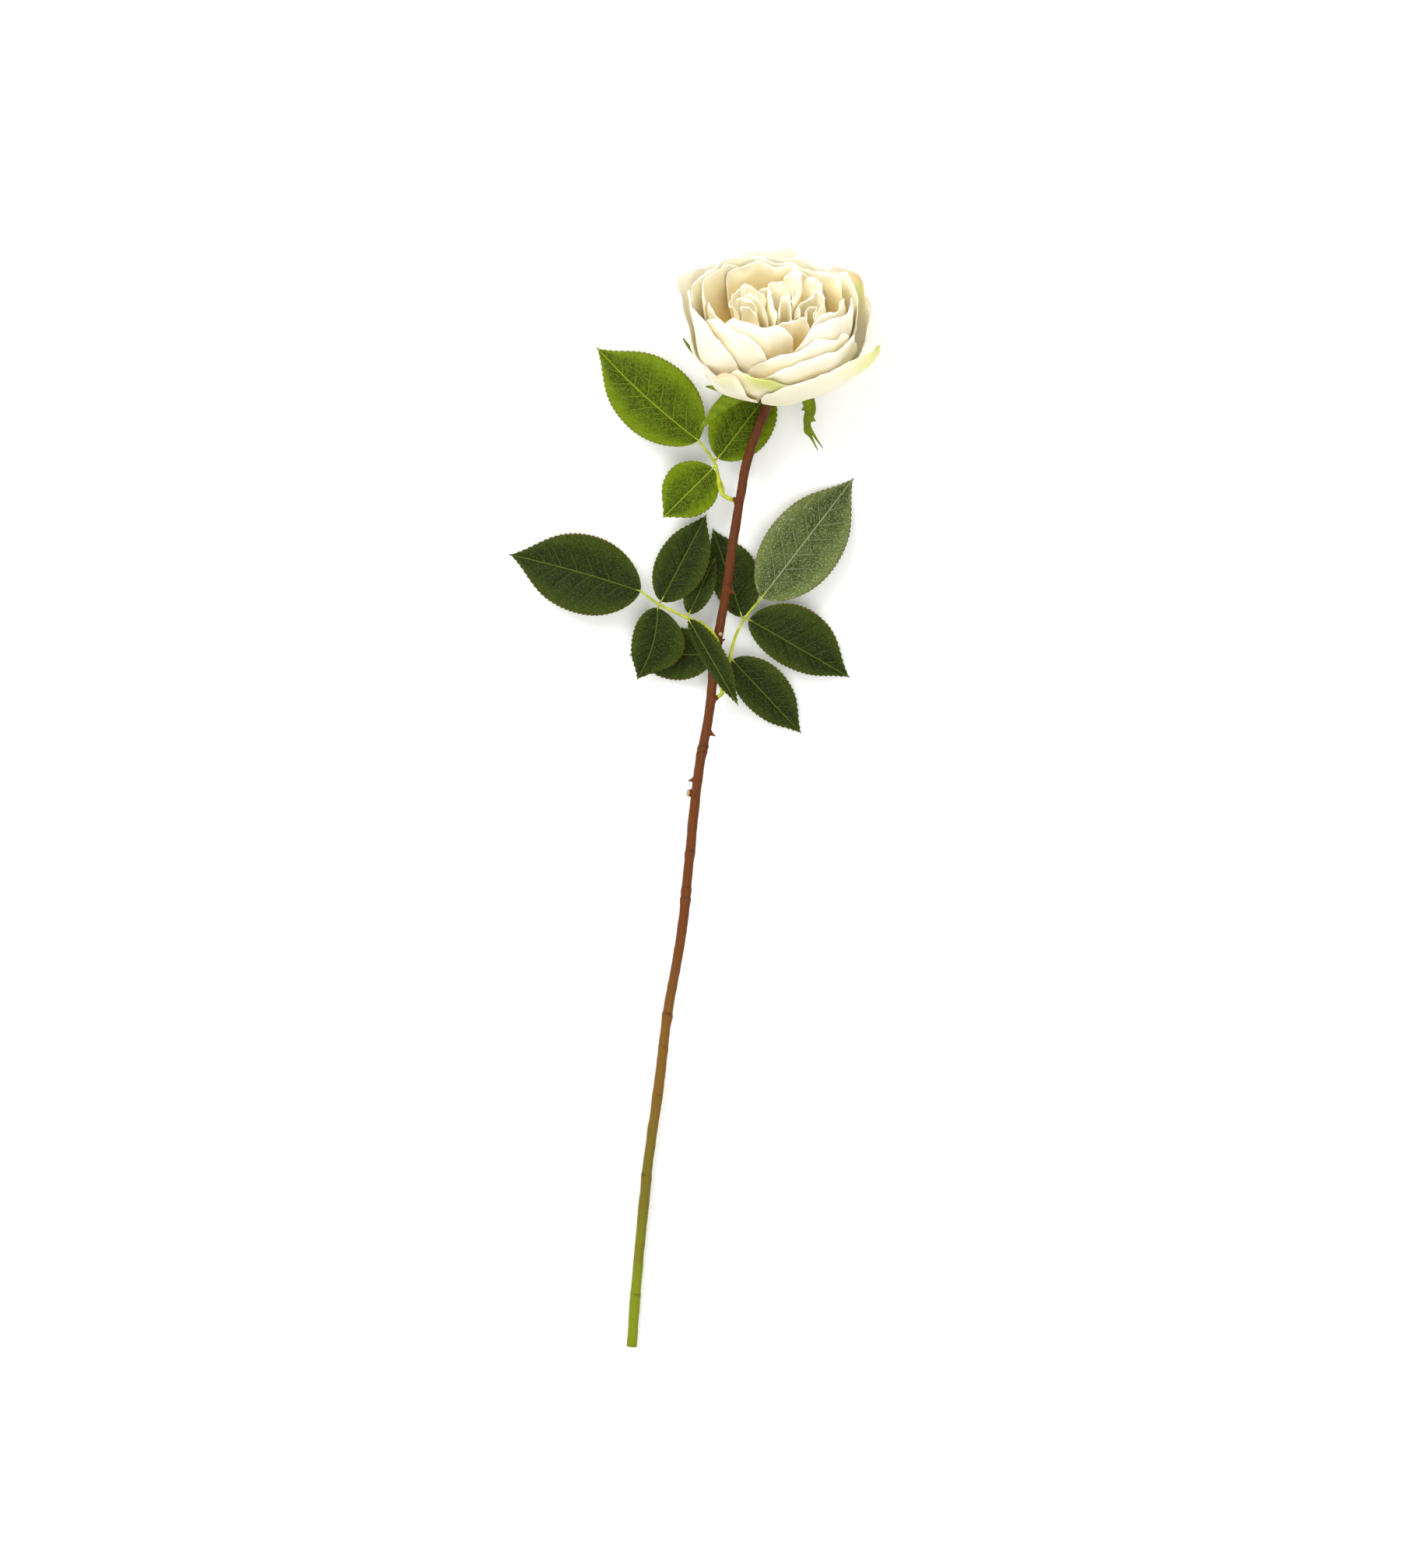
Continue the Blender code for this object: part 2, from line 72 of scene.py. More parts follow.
def linear(hex_colour: str) -> tuple[float, float, float, float]:
    """Turn an sRGB hex colour into a linear one.

    Args:
        hex_colour: Six hex digits, such as "F3EDD8".

    Returns:
        Linear red, green, blue and an alpha of 1.
    """
    parts = [int(hex_colour[i:i + 2], 16) / 255 for i in (0, 2, 4)]
    red, green, blue = (
        part / 12.92 if part <= 0.04045 else ((part + 0.055) / 1.055) ** 2.4
        for part in parts
    )
    return red, green, blue, 1.0


def per_mm(size: float) -> float:
    """Return the texture scale whose pattern repeats about every size mm."""
    return 1.0 / (size * MM)


def ease(value: float) -> float:
    """Return a smooth step from 0 to 1."""
    value = min(max(value, 0.0), 1.0)
    return value * value * (3.0 - 2.0 * value)


def bell(value: float, width: float) -> float:
    """Return a bump of height 1 at 0 that fades over the width."""
    return math.exp(-((value / width) ** 2))


def line_point(points: Line, share: float) -> Vector:
    """Return the point at a share of the way along a smooth line.

    Args:
        points: The points that the line passes through.
        share: From 0 at the first point to 1 at the last.

    Returns:
        The point on the line.
    """
    last = len(points) - 1
    place = min(max(share, 0.0), 1.0) * last
    index = min(int(place), last - 1)
    part = place - index
    near = [Vector(points[min(max(index + step, 0), last)]) for step in (-1, 0, 1, 2)]
    straight = (near[2] - near[0]) * part
    bend = (2 * near[0] - 5 * near[1] + 4 * near[2] - near[3]) * part * part
    settle = (3 * near[1] - near[0] - 3 * near[2] + near[3]) * part ** 3
    return (2 * near[1] + straight + bend + settle) * 0.5


def wander(point: Vector, size: float, seed: float) -> float:
    """Return smooth noise from about -1 to 1 with features of a size in mm."""
    return noise.noise(point / size + Vector((seed, 2.7 * seed, -seed)))


def add_node(
    tree: bpy.types.NodeTree,
    kind: str,
    settings: dict | None = None,
    links: dict | None = None,
) -> bpy.types.Node:
    """Add one shader node.

    Args:
        tree: The material's node tree.
        kind: The node's type name.
        settings: Values for the node's inputs, by name or number, or its properties.
        links: Output sockets to join to the node's inputs, by name or number.

    Returns:
        The new node.
    """
    node = tree.nodes.new(kind)
    for key, value in (settings or {}).items():
        if isinstance(key, int) or key in node.inputs:
            node.inputs[key].default_value = value
        else:
            setattr(node, key, value)
    for key, socket in (links or {}).items():
        tree.links.new(socket, node.inputs[key])
    return node


def new_material(name: str) -> tuple[bpy.types.Material, bpy.types.NodeTree, bpy.types.Node]:
    """Start a material.

    Args:
        name: The finish's common name.

    Returns:
        The material, its node tree and its Principled shader.
    """
    material = bpy.data.materials.new(name)
    material.use_nodes = True
    tree = material.node_tree
    return material, tree, tree.nodes["Principled BSDF"]


def mix_colour(tree: bpy.types.NodeTree, share: object, low: object, high: object) -> object:
    """Mix two colours.

    Args:
        tree: The material's node tree.
        share: The output socket that says how much of the second colour shows.
        low: A hex colour or a socket, shown where the share is 0.
        high: A hex colour or a socket, shown where the share is 1.

    Returns:
        The mixed colour's socket.
    """
    settings, links = {"data_type": "RGBA"}, {0: share}
    for slot, colour in ((6, low), (7, high)):
        if isinstance(colour, str):
            settings[slot] = linear(colour)
        else:
            links[slot] = colour
    return add_node(tree, "ShaderNodeMix", settings, links).outputs[2]


def ramp(
    tree: bpy.types.NodeTree, value: object, low: float, high: float,
    start: float = 0.0, end: float = 1.0,
) -> object:
    """Turn a value into a smooth share.

    Args:
        tree: The material's node tree.
        value: The socket to read.
        low: The value where the share is start.
        high: The value where the share is end.
        start: The share below low.
        end: The share above high.

    Returns:
        The share's socket.
    """
    settings = {
        "interpolation_type": "SMOOTHSTEP", "From Min": low, "From Max": high,
        "To Min": start, "To Max": end,
    }
    return add_node(tree, "ShaderNodeMapRange", settings, {"Value": value}).outputs["Result"]


def kept_value(tree: bpy.types.NodeTree, name: str) -> object:
    """Return the socket of a value that is kept on the mesh's points."""
    return add_node(tree, "ShaderNodeAttribute", {"attribute_name": name}).outputs["Fac"]


def stretched(tree: bpy.types.NodeTree, place: object, scale: tuple[float, float, float]) -> object:
    """Return a place whose axes are scaled, which draws a pattern out along one."""
    return add_node(tree, "ShaderNodeMapping", {"Scale": scale}, {"Vector": place}).outputs["Vector"]


def noise_share(
    tree: bpy.types.NodeTree, place: object, scale: float, detail: float, roughness: float = 0.5,
) -> object:
    """Add a soft noise pattern.

    Args:
        tree: The material's node tree.
        place: The socket of the place to read.
        scale: How many times the pattern repeats over one unit of the place.
        detail: How many finer layers are laid over it.
        roughness: How strong the finer layers are.

    Returns:
        The pattern's socket, from 0 to 1.
    """
    settings = {"Scale": scale, "Detail": detail, "Roughness": roughness}
    return add_node(tree, "ShaderNodeTexNoise", settings, {"Vector": place}).outputs["Fac"]


def worked_out(tree: bpy.types.NodeTree, operation: str, *terms: object) -> object:
    """Do a sum in a material.

    Args:
        tree: The material's node tree.
        operation: The sum, such as "ADD".
        terms: Its numbers and sockets, in order.

    Returns:
        The answer's socket.
    """
    settings, links = {"operation": operation}, {}
    for index, term in enumerate(terms):
        (settings if isinstance(term, float) else links)[index] = term
    return add_node(tree, "ShaderNodeMath", settings, links).outputs[0]


def relief(
    tree: bpy.types.NodeTree, strength: float, depth: float, height: object, under: object = None,
) -> object:
    """Add fine relief to a surface.

    Args:
        tree: The material's node tree.
        strength: How much of the relief shows.
        depth: Its depth in mm.
        height: The socket of its height, from 0 to 1.
        under: The socket of a broader relief that it lies on.

    Returns:
        The socket of the surface's direction.
    """
    links = {"Height": height}
    if under is not None:
        links["Normal"] = under
    settings = {"Strength": strength, "Distance": depth * MM}
    return add_node(tree, "ShaderNodeBump", settings, links).outputs["Normal"]


@dataclass(frozen=True)
class Gloss:
    """How a surface throws light back."""

    roughness: float
    ior: float = 1.45
    level: float = 0.1

    def dress(
        self, tree: bpy.types.NodeTree, skin: bpy.types.Node, colour: object, facing: object,
    ) -> None:
        """Give a shader its colour, its relief and this gloss.

        Args:
            tree: The material's node tree.
            skin: The Principled shader.
            colour: The colour's socket.
            facing: The socket of the surface's direction.
        """
        tree.links.new(colour, skin.inputs["Base Color"])
        tree.links.new(facing, skin.inputs["Normal"])
        skin.inputs["Roughness"].default_value = self.roughness
        skin.inputs["IOR"].default_value = self.ior
        skin.inputs["Specular IOR Level"].default_value = self.level


# ---------------------------------------------------------------------- finishes


class Slot(Enum):
    """The record's material slots."""

    OUTER_PETAL = "outer_petal"
    PETAL = "petal"
    INNER_PETAL = "inner_petal"
    LEAF = "leaf"
    LEAF_YOUNG = "leaf_young"
    LEAF_STALK = "leaf_stalk"
    SEPAL = "sepal"
    STEM = "stem"


@dataclass(frozen=True)
class PetalFinish:
    """Rose petal: a soft, matt, slightly velvety skin that lets some light through.

    The root has the petal's own yellow tint, deepened with painted shade and glow where
    the cup is deep, and fades to a near-white painted highlight at the rim; faint veins
    fan towards the rim, and here and there a green tip or a blush shows.
    """

    name: str
    skin: str = "FFFAE2"
    # rim: the near-white colour of a painted highlight along the rims and side edges
    rim: str = "FFFEF6"
    # root: the petal's own yellow base, deepened to paint the shade and glow of the cup's depths
    root: str = "FFD96A"
    green: str = "B9C24A"
    blush: str = "E39B80"
    vein: str = "E3D9B4"
    # warmth: how far the root colour reaches, partly the petal's own tint and partly painted shade
    warmth: float = 0.6
    gloss: Gloss = Gloss(0.52, 1.42, 0.3)

    def material(self) -> bpy.types.Material:
        """Make the petal's material.

        Returns:
            The material.
        """
        material, tree, skin = new_material(self.name)
        place = add_node(tree, "ShaderNodeTexCoord").outputs
        cloud = noise_share(tree, place["Object"], per_mm(16), 2.0)
        veins = noise_share(tree, stretched(tree, place["UV"], (46.0, 2.2, 1.0)), 1.0, 3.0, 0.6)
        folds = noise_share(tree, stretched(tree, place["UV"], (5.0, 1.3, 1.0)), 1.0, 1.5)

        uneven = worked_out(tree, "MULTIPLY_ADD", cloud, 0.22, -0.11)
        # Root tint with painted shade and glow: the root colour rises from the root, partly the petal's own
        # yellow base and partly the shade of the cup's depths
        depth = worked_out(tree, "ADD", kept_value(tree, "warm"), uneven)
        warm = ramp(tree, depth, 0.0, 0.8, 0.0, self.warmth)
        colour = mix_colour(tree, warm, self.skin, self.root)
        # Painted highlight: a near-white band along the rims and the side edges
        near = ramp(tree, kept_value(tree, "rim"), 0.0, 1.0, 0.0, 0.45)
        colour = mix_colour(tree, near, colour, self.rim)
        colour = mix_colour(tree, ramp(tree, veins, 0.35, 0.7, 0.0, 0.10), colour, self.vein)
        tip = ramp(tree, kept_value(tree, "green"), 0.0, 1.0, 0.0, 0.92)
        colour = mix_colour(tree, tip, colour, self.green)
        rosy = ramp(tree, kept_value(tree, "blush"), 0.0, 1.0, 0.0, 0.75)
        colour = mix_colour(tree, rosy, colour, self.blush)

        facing = relief(tree, 0.35, 0.12, veins, relief(tree, 0.5, 4.0, folds))
        self.gloss.dress(tree, skin, colour, facing)
        skin.inputs["Sheen Weight"].default_value = 0.15
        skin.inputs["Sheen Roughness"].default_value = 0.5
        skin.inputs["Subsurface Weight"].default_value = 0.4
        skin.inputs["Subsurface Radius"].default_value = (1.0, 0.9, 0.7)
        skin.inputs["Subsurface Scale"].default_value = 2.5 * MM
        return material


@dataclass(frozen=True)
class LeafFinish:
    """Rose leaf: a waxy blade with a close speckle, sunk pale veins and a lighter edge."""

    name: str
    slot: Slot
    dark: str
    light: str
    margin: str
    vein: str
    speck: str
    speck_share: float
    roughness: float = 0.58
    teeth: str = "6B4A1E"

    def material(self) -> bpy.types.Material:
        """Make the leaf's material.

        Returns:
            The material.
        """
        material, tree, skin = new_material(self.name)
        place = add_node(tree, "ShaderNodeTexCoord").outputs["Object"]
        rank, span, edge = (kept_value(tree, name) for name in ("rank", "span", "edge"))
        cloud = noise_share(tree, place, per_mm(9), 3.0)
        grain = noise_share(tree, place, per_mm(0.85), 2.0, 0.7)
        net = add_node(
            tree, "ShaderNodeTexVoronoi",
            {"feature": "DISTANCE_TO_EDGE", "Scale": per_mm(2.6), "Randomness": 0.9},
            {"Vector": place},
        ).outputs["Distance"]

        # Side veins lie where the rank passes a whole number; the midrib where the
        # span is nothing.
        part = worked_out(tree, "PINGPONG", rank, 0.5)
        side_vein = ramp(tree, part, 0.01, 0.05, 1.0, 0.0)
        midrib = ramp(tree, span, 0.15, 0.5, 1.0, 0.0)
        speck = ramp(tree, grain, 0.50, 0.64, 0.0, self.speck_share)
        # Painted shade: darker along the sunk veins and towards the midrib
        shade = ramp(tree, part, 0.0, 0.42, 0.0, 0.55)
        pale_vein = worked_out(tree, "MULTIPLY", side_vein, ramp(tree, edge, 0.2, 0.9, 0.55, 0.1))
        teeth = worked_out(tree, "MULTIPLY", ramp(tree, edge, 0.94, 0.995), 0.4)

        colour = mix_colour(tree, ramp(tree, cloud, 0.35, 0.68), self.dark, self.light)
        colour = mix_colour(tree, ramp(tree, edge, 0.35, 0.95, 0.0, 0.75), colour, self.margin)
        colour = mix_colour(tree, speck, colour, self.speck)
        # Painted shade laid in the vein grooves, most towards the midrib
        low = mix_colour(tree, shade, self.dark, colour)
        colour = mix_colour(tree, ramp(tree, edge, 0.3, 1.0, 0.45, 1.0), low, colour)
        colour = mix_colour(tree, ramp(tree, net, 0.02, 0.10, 0.35, 0.0), colour, self.margin)
        colour = mix_colour(tree, pale_vein, colour, self.vein)
        colour = mix_colour(tree, midrib, colour, self.vein)
        colour = mix_colour(tree, teeth, colour, self.teeth)
        sunk = worked_out(tree, "MAXIMUM", side_vein, midrib)
        height = worked_out(tree, "MULTIPLY_ADD", sunk, -1.4, grain)
        Gloss(self.roughness).dress(tree, skin, colour, relief(tree, 0.6, 0.22, height))
        return material


@dataclass(frozen=True)
class StalkFinish:
    """Green plant stalk or sepal: smooth and waxy, with long faint streaks."""

    name: str
    slot: Slot
    light: str
    dark: str
    streak: str = "C6CC70"

    def material(self) -> bpy.types.Material:
        """Make the stalk's material.

        Returns:
            The material.
        """
        material, tree, skin = new_material(self.name)
        place = add_node(tree, "ShaderNodeTexCoord").outputs["Object"]
        cloud = noise_share(tree, place, per_mm(5), 3.0)
        grain = noise_share(tree, place, per_mm(1.2), 2.0)
        colour = mix_colour(tree, ramp(tree, cloud, 0.35, 0.68), self.dark, self.light)
        colour = mix_colour(tree, ramp(tree, grain, 0.55, 0.75, 0.0, 0.12), colour, self.streak)
        Gloss(0.5).dress(tree, skin, colour, relief(tree, 0.3, 0.1, grain))
        return material


@dataclass(frozen=True)
class BarkFinish:
    """Green rose wood: a waxy skin, lime at the cut end and red-brown near the bloom."""

    name: str = "waxy_rose_bark"
    slot: Slot = Slot.STEM
    tones: tuple[tuple[float, str], ...] = (
        (-290.0, "6F7C09"), (-215.0, "665C12"), (-150.0, "704E15"), (-60.0, "60310C"),
        (120.0, "562A0D"), (200.0, "53280D"),
    )
    # ring: the dark colour of painted shade in the crease just above each node swelling
    ring: str = "3A1C0C"
    streak: str = "8A5A2A"
    mottle: str = "5A3416"

    def material(self) -> bpy.types.Material:
        """Make the stem's material.

        Returns:
            The material.
        """
        material, tree, skin = new_material(self.name)
        place = add_node(tree, "ShaderNodeTexCoord").outputs["Object"]
        along = add_node(tree, "ShaderNodeSeparateXYZ", None, {"Vector": place}).outputs["Y"]
        grain = noise_share(tree, stretched(tree, place, (1.0, 0.08, 1.0)), per_mm(1.3), 4.0, 0.65)
        mottle = noise_share(tree, place, per_mm(11), 4.0)
        colour = self.tones[0][1]
        for (start, _), (end, tone) in zip(self.tones, self.tones[1:]):
            colour = mix_colour(tree, ramp(tree, along, start * MM, end * MM), colour, tone)
        # Painted shade in the crease just above each node swelling
        ring = ramp(tree, kept_value(tree, "ring"), 0.15, 1.0, 0.0, 0.7)
        colour = mix_colour(tree, ring, colour, self.ring)
        colour = mix_colour(tree, ramp(tree, grain, 0.5, 0.72, 0.0, 0.22), colour, self.streak)
        colour = mix_colour(tree, ramp(tree, mottle, 0.55, 0.75, 0.0, 0.35), colour, self.mottle)
        Gloss(0.5, 1.47, 0.15).dress(tree, skin, colour, relief(tree, 0.45, 0.15, grain))
        return material


@dataclass(frozen=True)
class CutWoodFinish:
    """Freshly cut rose wood: pale damp pith with a fine open grain."""

    name: str = "cut_rose_wood"

    def material(self) -> bpy.types.Material:
        """Make the cut face's material.

        Returns:
            The material.
        """
        material, tree, skin = new_material(self.name)
        place = add_node(tree, "ShaderNodeTexCoord").outputs["Object"]
        grain = noise_share(tree, place, per_mm(0.5), 3.0)
        colour = mix_colour(tree, ramp(tree, grain, 0.4, 0.65), "B9A272", "8C6E40")
        tree.links.new(colour, skin.inputs["Base Color"])
        skin.inputs["Roughness"].default_value = 0.8
        return material


# ------------------------------------------------------------------ mesh making


def add_piece(
    name: str,
    mesh: bpy.types.Mesh,
    materials: Sequence[bpy.types.Material],
    node: str,
    thickness: float = 0.0,
) -> bpy.types.Object:
    """Put a finished mesh in the scene as the stand-in for a CAD node.

    Args:
        name: The piece's name.
        mesh: Its mesh, in metres, in place.
        materials: Its materials, in slot order.
        node: The CAD node that it replaces.
        thickness: The wall that an open sheet gets, in mm.

    Returns:
        The new object.
    """
    piece = bpy.data.objects.new(name, mesh)
    bpy.context.scene.collection.objects.link(piece)
    for material in materials:
        mesh.materials.append(material)
    mesh.shade_smooth()
    if thickness:
        wall = piece.modifiers.new("wall", "SOLIDIFY")
        wall.thickness = thickness * MM
        wall.offset = 0.0
        wall.use_rim = True
        if len(materials) > 1:
            wall.material_offset = 1
    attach(piece, "root")
    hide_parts(node)
    LOG.info("%s: %d faces, stands for %s", name, len(mesh.polygons), node)
    return piece


def sheet_mesh(
    name: str, shape: Shape, columns: int, rows: int, fields: dict[str, Field],
) -> bpy.types.Mesh:
    """Make an open sheet from a shape.

    Args:
        name: The mesh's name.
        shape: The point in mm for a place across (-1 to 1) and along (0 to 1).
        columns: Faces across.
        rows: Faces along.
        fields: Values to keep on the points for the material, by name.

    Returns:
        The mesh, in metres.
    """
    sheet = bmesh.new()
    bmesh.ops.create_grid(sheet, x_segments=columns, y_segments=rows, size=1.0)
    unwrapped = sheet.loops.layers.uv.new("UVMap")
    layers = {key: sheet.verts.layers.float.new(key) for key in fields}
    for face in sheet.faces:
        for corner in face.loops:
            corner[unwrapped].uv = (corner.vert.co.x / 2 + 0.5, corner.vert.co.y / 2 + 0.5)
    for vertex in sheet.verts:
        across, along = vertex.co.x, vertex.co.y / 2 + 0.5
        for key, value in fields.items():
            vertex[layers[key]] = value(across, along)
        vertex.co = shape(across, along) * MM
    mesh = bpy.data.meshes.new(name)
    sheet.to_mesh(mesh)
    sheet.free()
    return mesh


@dataclass(frozen=True)
class Tube:
    """A closed tube round a smooth line, such as a stem, a stalk or a thorn."""

    line: Line
    radius: Callable[[float, float], float]
    columns: int = 16
    rows: int = 40
    flatness: float = 1.0

    def centre(self, share: float) -> Vector:
        """Return the middle of the tube at a share of its length, in mm."""
        return line_point(self.line, share)

    def add_to(self, body: bmesh.types.BMesh, fields: dict[str, Field] | None = None) -> None:
        """Add the tube to a mesh in the making.

        Args:
            body: The mesh that the tube joins.
            fields: Values to keep on the points, from the share along and the angle.
        """
        layers = {
            key: body.verts.layers.float.get(key) or body.verts.layers.float.new(key)
            for key in (fields or {})
        }
        made = bmesh.ops.create_grid(
            body, x_segments=self.columns, y_segments=self.rows, size=1.0,
        )["verts"]
        for vertex in made:
            angle, share = math.pi * vertex.co.x, vertex.co.y / 2 + 0.5
            for key, value in (fields or {}).items():
                vertex[layers[key]] = value(share, angle)
            ahead = self.centre(share + 0.004) - self.centre(share - 0.004)
            side = ahead.cross(Vector((0.0, 0.0, 1.0)))
            if side.length < 0.05 * ahead.length:
                side = ahead.cross(Vector((0.0, 1.0, 0.0)))
            side.normalize()
            up = side.cross(ahead).normalized()
            radius = self.radius(share, angle)
            out = side * math.cos(angle) + up * math.sin(angle) * self.flatness
            vertex.co = (self.centre(share) + out * radius) * MM
        seam = [vertex for vertex in made if vertex.is_boundary]
        bmesh.ops.remove_doubles(body, verts=seam, dist=0.001 * MM)
        rims = [edge for edge in body.edges if edge.is_boundary]
        bmesh.ops.holes_fill(body, edges=rims, sides=0)


def finish_solid(name: str, body: bmesh.types.BMesh) -> bpy.types.Mesh:
    """Turn closed shells into a mesh whose faces point out.

    Args:
        name: The mesh's name.
        body: The shells, which are freed.

    Returns:
        The mesh.
    """
    bmesh.ops.recalc_face_normals(body, faces=body.faces)
    mesh = bpy.data.meshes.new(name)
    body.to_mesh(mesh)
    body.free()
    return mesh


# --------------------------------------------------------------------- the bloom


@dataclass(frozen=True)
class CupPetal:
    """One petal of the cup, and how its rim turns."""

    name: str
    whorl: int
    direction: float
    half_angle: float
    reach: float
    rise: float
    flare: float
    roll: float = 1.0
    left_tuck: float = 1.1
    right_tuck: float = 1.1
    corner: float = 0.24
    tip: float = 0.0
    tip_at: float = 0.0
    tip_flare: float = 0.0
    green: float = 0.0
    blush: float = 0.0


@dataclass(frozen=True)
class FoldedPetal:
    """One upright folded petal of the nest, and the line it follows from above."""

    name: str
    top: float
    line: tuple[tuple[float, float], ...]
    roll: float = 1.0
    drop: float = 0.06


CUP_PETALS = (
    CupPetal(
        "guard_petal_1", 0, 317, 50, 0.71, 0.07, 0.5, 0.8, tip=0.09, tip_at=0.6, tip_flare=8.0,
        green=0.9, blush=0.1,
    ),
    CupPetal(
        "guard_petal_2", 0, 232, 31, 0.56, 0.02, 0.0, 0.6, left_tuck=2.8, right_tuck=0.4, tip=0.05,
        tip_at=0.3, green=0.5, blush=0.7,
    ),
    CupPetal("guard_petal_3", 0, 90, 38, 0.93, 0.00, 4.4, 0.6, right_tuck=0.0, corner=0.28, tip=0.06),
    CupPetal(
        "guard_petal_4", 1, 33, 40, 0.95, 0.00, 2.5, 0.6, corner=0.16, tip_at=-0.1, green=0.8,
        blush=0.9,
    ),
    CupPetal("guard_petal_5", 1, 269, 44, 0.60, 0.04, 0.5, 1.0, tip=0.09, green=1.0, blush=0.1),
    CupPetal(
        "guard_petal_6", 1, 152, 38, 0.88, -0.02, 4.0, 0.6, left_tuck=0.3, right_tuck=3.4,
        corner=0.3, blush=0.2,
    ),
    CupPetal("cup_petal_1", 2, 306, 50, 0.80, 0.08, 1.0, 1.0),
    CupPetal("cup_petal_2", 2, 205, 44, 0.87, -0.09, 0.0, 0.8, left_tuck=1.0, right_tuck=2.6),
    CupPetal("cup_petal_3", 2, 84, 44, 0.97, -0.03, 0.0, 1.0, corner=0.16),
    CupPetal("cup_petal_4", 3, 296, 46, 0.86, 0.08, 0.0, 1.0),
    CupPetal("cup_petal_5", 3, 140, 43, 0.91, -0.02, 0.0, 1.0, corner=0.16),
    CupPetal("cup_petal_6", 3, 24, 40, 0.97, 0.00, 0.0, 1.2, corner=0.2),
    CupPetal("cup_petal_7", 4, 234, 42, 0.86, -0.02, 0.0, 0.8),
    CupPetal("cup_petal_8", 4, 329, 49, 0.97, 0.03, 0.0, 1.0, corner=0.12),
    CupPetal("cup_petal_9", 4, 105, 42, 0.96, -0.02, 0.0, 1.0, corner=0.12),
    CupPetal("inner_petal_1", 5, 250, 41, 0.92, 0.05, 0.0, 0.6, right_tuck=8.0, corner=0.14),
    CupPetal("inner_petal_2", 5, 50, 46, 0.98, 0.00, 0.0, 1.0, corner=0.14),
    CupPetal("inner_petal_3", 5, 150, 46, 0.91, 0.00, 0.0, 1.0, corner=0.14),
    CupPetal("inner_petal_4", 6, 334, 40, 0.98, 0.02, 0.0, 0.8, left_tuck=2.5, corner=0.12),
    CupPetal("inner_petal_5", 6, 206, 38, 0.86, -0.04, 0.0, 0.6),
    CupPetal("inner_petal_6", 6, 90, 48, 0.95, 0.00, 0.0, 1.0, corner=0.1),
)

FOLDED_PETALS = (
    FoldedPetal(
        "folded_petal_1", 56,
        ((-22, 7.6), (-18.7, 6.3), (-13.3, 8.5), (-11, 5.4), (-10.4, -0.5), (-8.6, -2.6)),
    ),
    FoldedPetal("folded_petal_2", 50, ((-14.5, 20), (-22, 14), (-26.5, 4), (-28, -7), (-26.5, -17))),
    FoldedPetal(
        "folded_petal_3", 57,
        ((-0.5, -26.5), (-1.5, -20), (-4.2, -11), (-6, -3), (-5.6, 6), (-3.5, 11.5), (1, 13.2),
         (4.5, 12), (6.5, 7), (6.2, 1)),
    ),
    FoldedPetal("folded_petal_4", 57, ((-3, 17), (2, 18), (6.5, 15.5), (9, 10), (8.6, 3))),
    FoldedPetal(
        "folded_petal_5", 58,
        ((3, 25), (8, 28), (12.5, 24), (14.4, 16), (13.2, 8), (10.8, 1), (9.6, -3)),
    ),
    FoldedPetal(
        "folded_petal_6", 56,
        ((11, -14), (12.3, -4), (16, 3.6), (20.5, 8), (25.5, 8), (30, 3.8), (29.5, -6), (28, -13),
         (24.5, -19)),
        2.2, 0.1,
    ),
    FoldedPetal(
        "folded_petal_7", 56,
        ((1.3, -25), (1, -17), (1.8, -9.3), (5.6, -6.6), (8, -10.5), (9, -16), (9.6, -21)),
    ),
    FoldedPetal(
        "folded_petal_8", 55,
        ((-25, -9.5), (-23, -6.6), (-19.6, -8), (-16, -8.6), (-12.4, -10), (-11, -14)),
    ),
    FoldedPetal("folded_petal_9", 56, ((-17, -3.5), (-13.5, -5.4), (-9.6, -10), (-6, -15), (-4, -21))),
    FoldedPetal("folded_petal_10", 50, ((-13, 15), (-8, 18.5), (-4, 21.5), (0, 24))),
    FoldedPetal("folded_petal_11", 56, ((16.5, 27.5), (22.5, 23), (27, 16), (30.5, 10))),
    FoldedPetal("folded_petal_12", 53, ((17, -15), (18.5, -6), (22.5, -1.5), (25.5, -6), (25, -14))),
    FoldedPetal(
        "folded_petal_13", 53,
        ((-25, -18), (-20, -15.6), (-15.5, -15), (-12, -18), (-10.5, -24)),
    ),
    FoldedPetal(
        "folded_petal_14", 55,
        ((-4, -32.5), (2, -31), (8, -28), (13.5, -23), (18.5, -23.5), (22, -28)),
        1.6, 0.2,
    ),
)


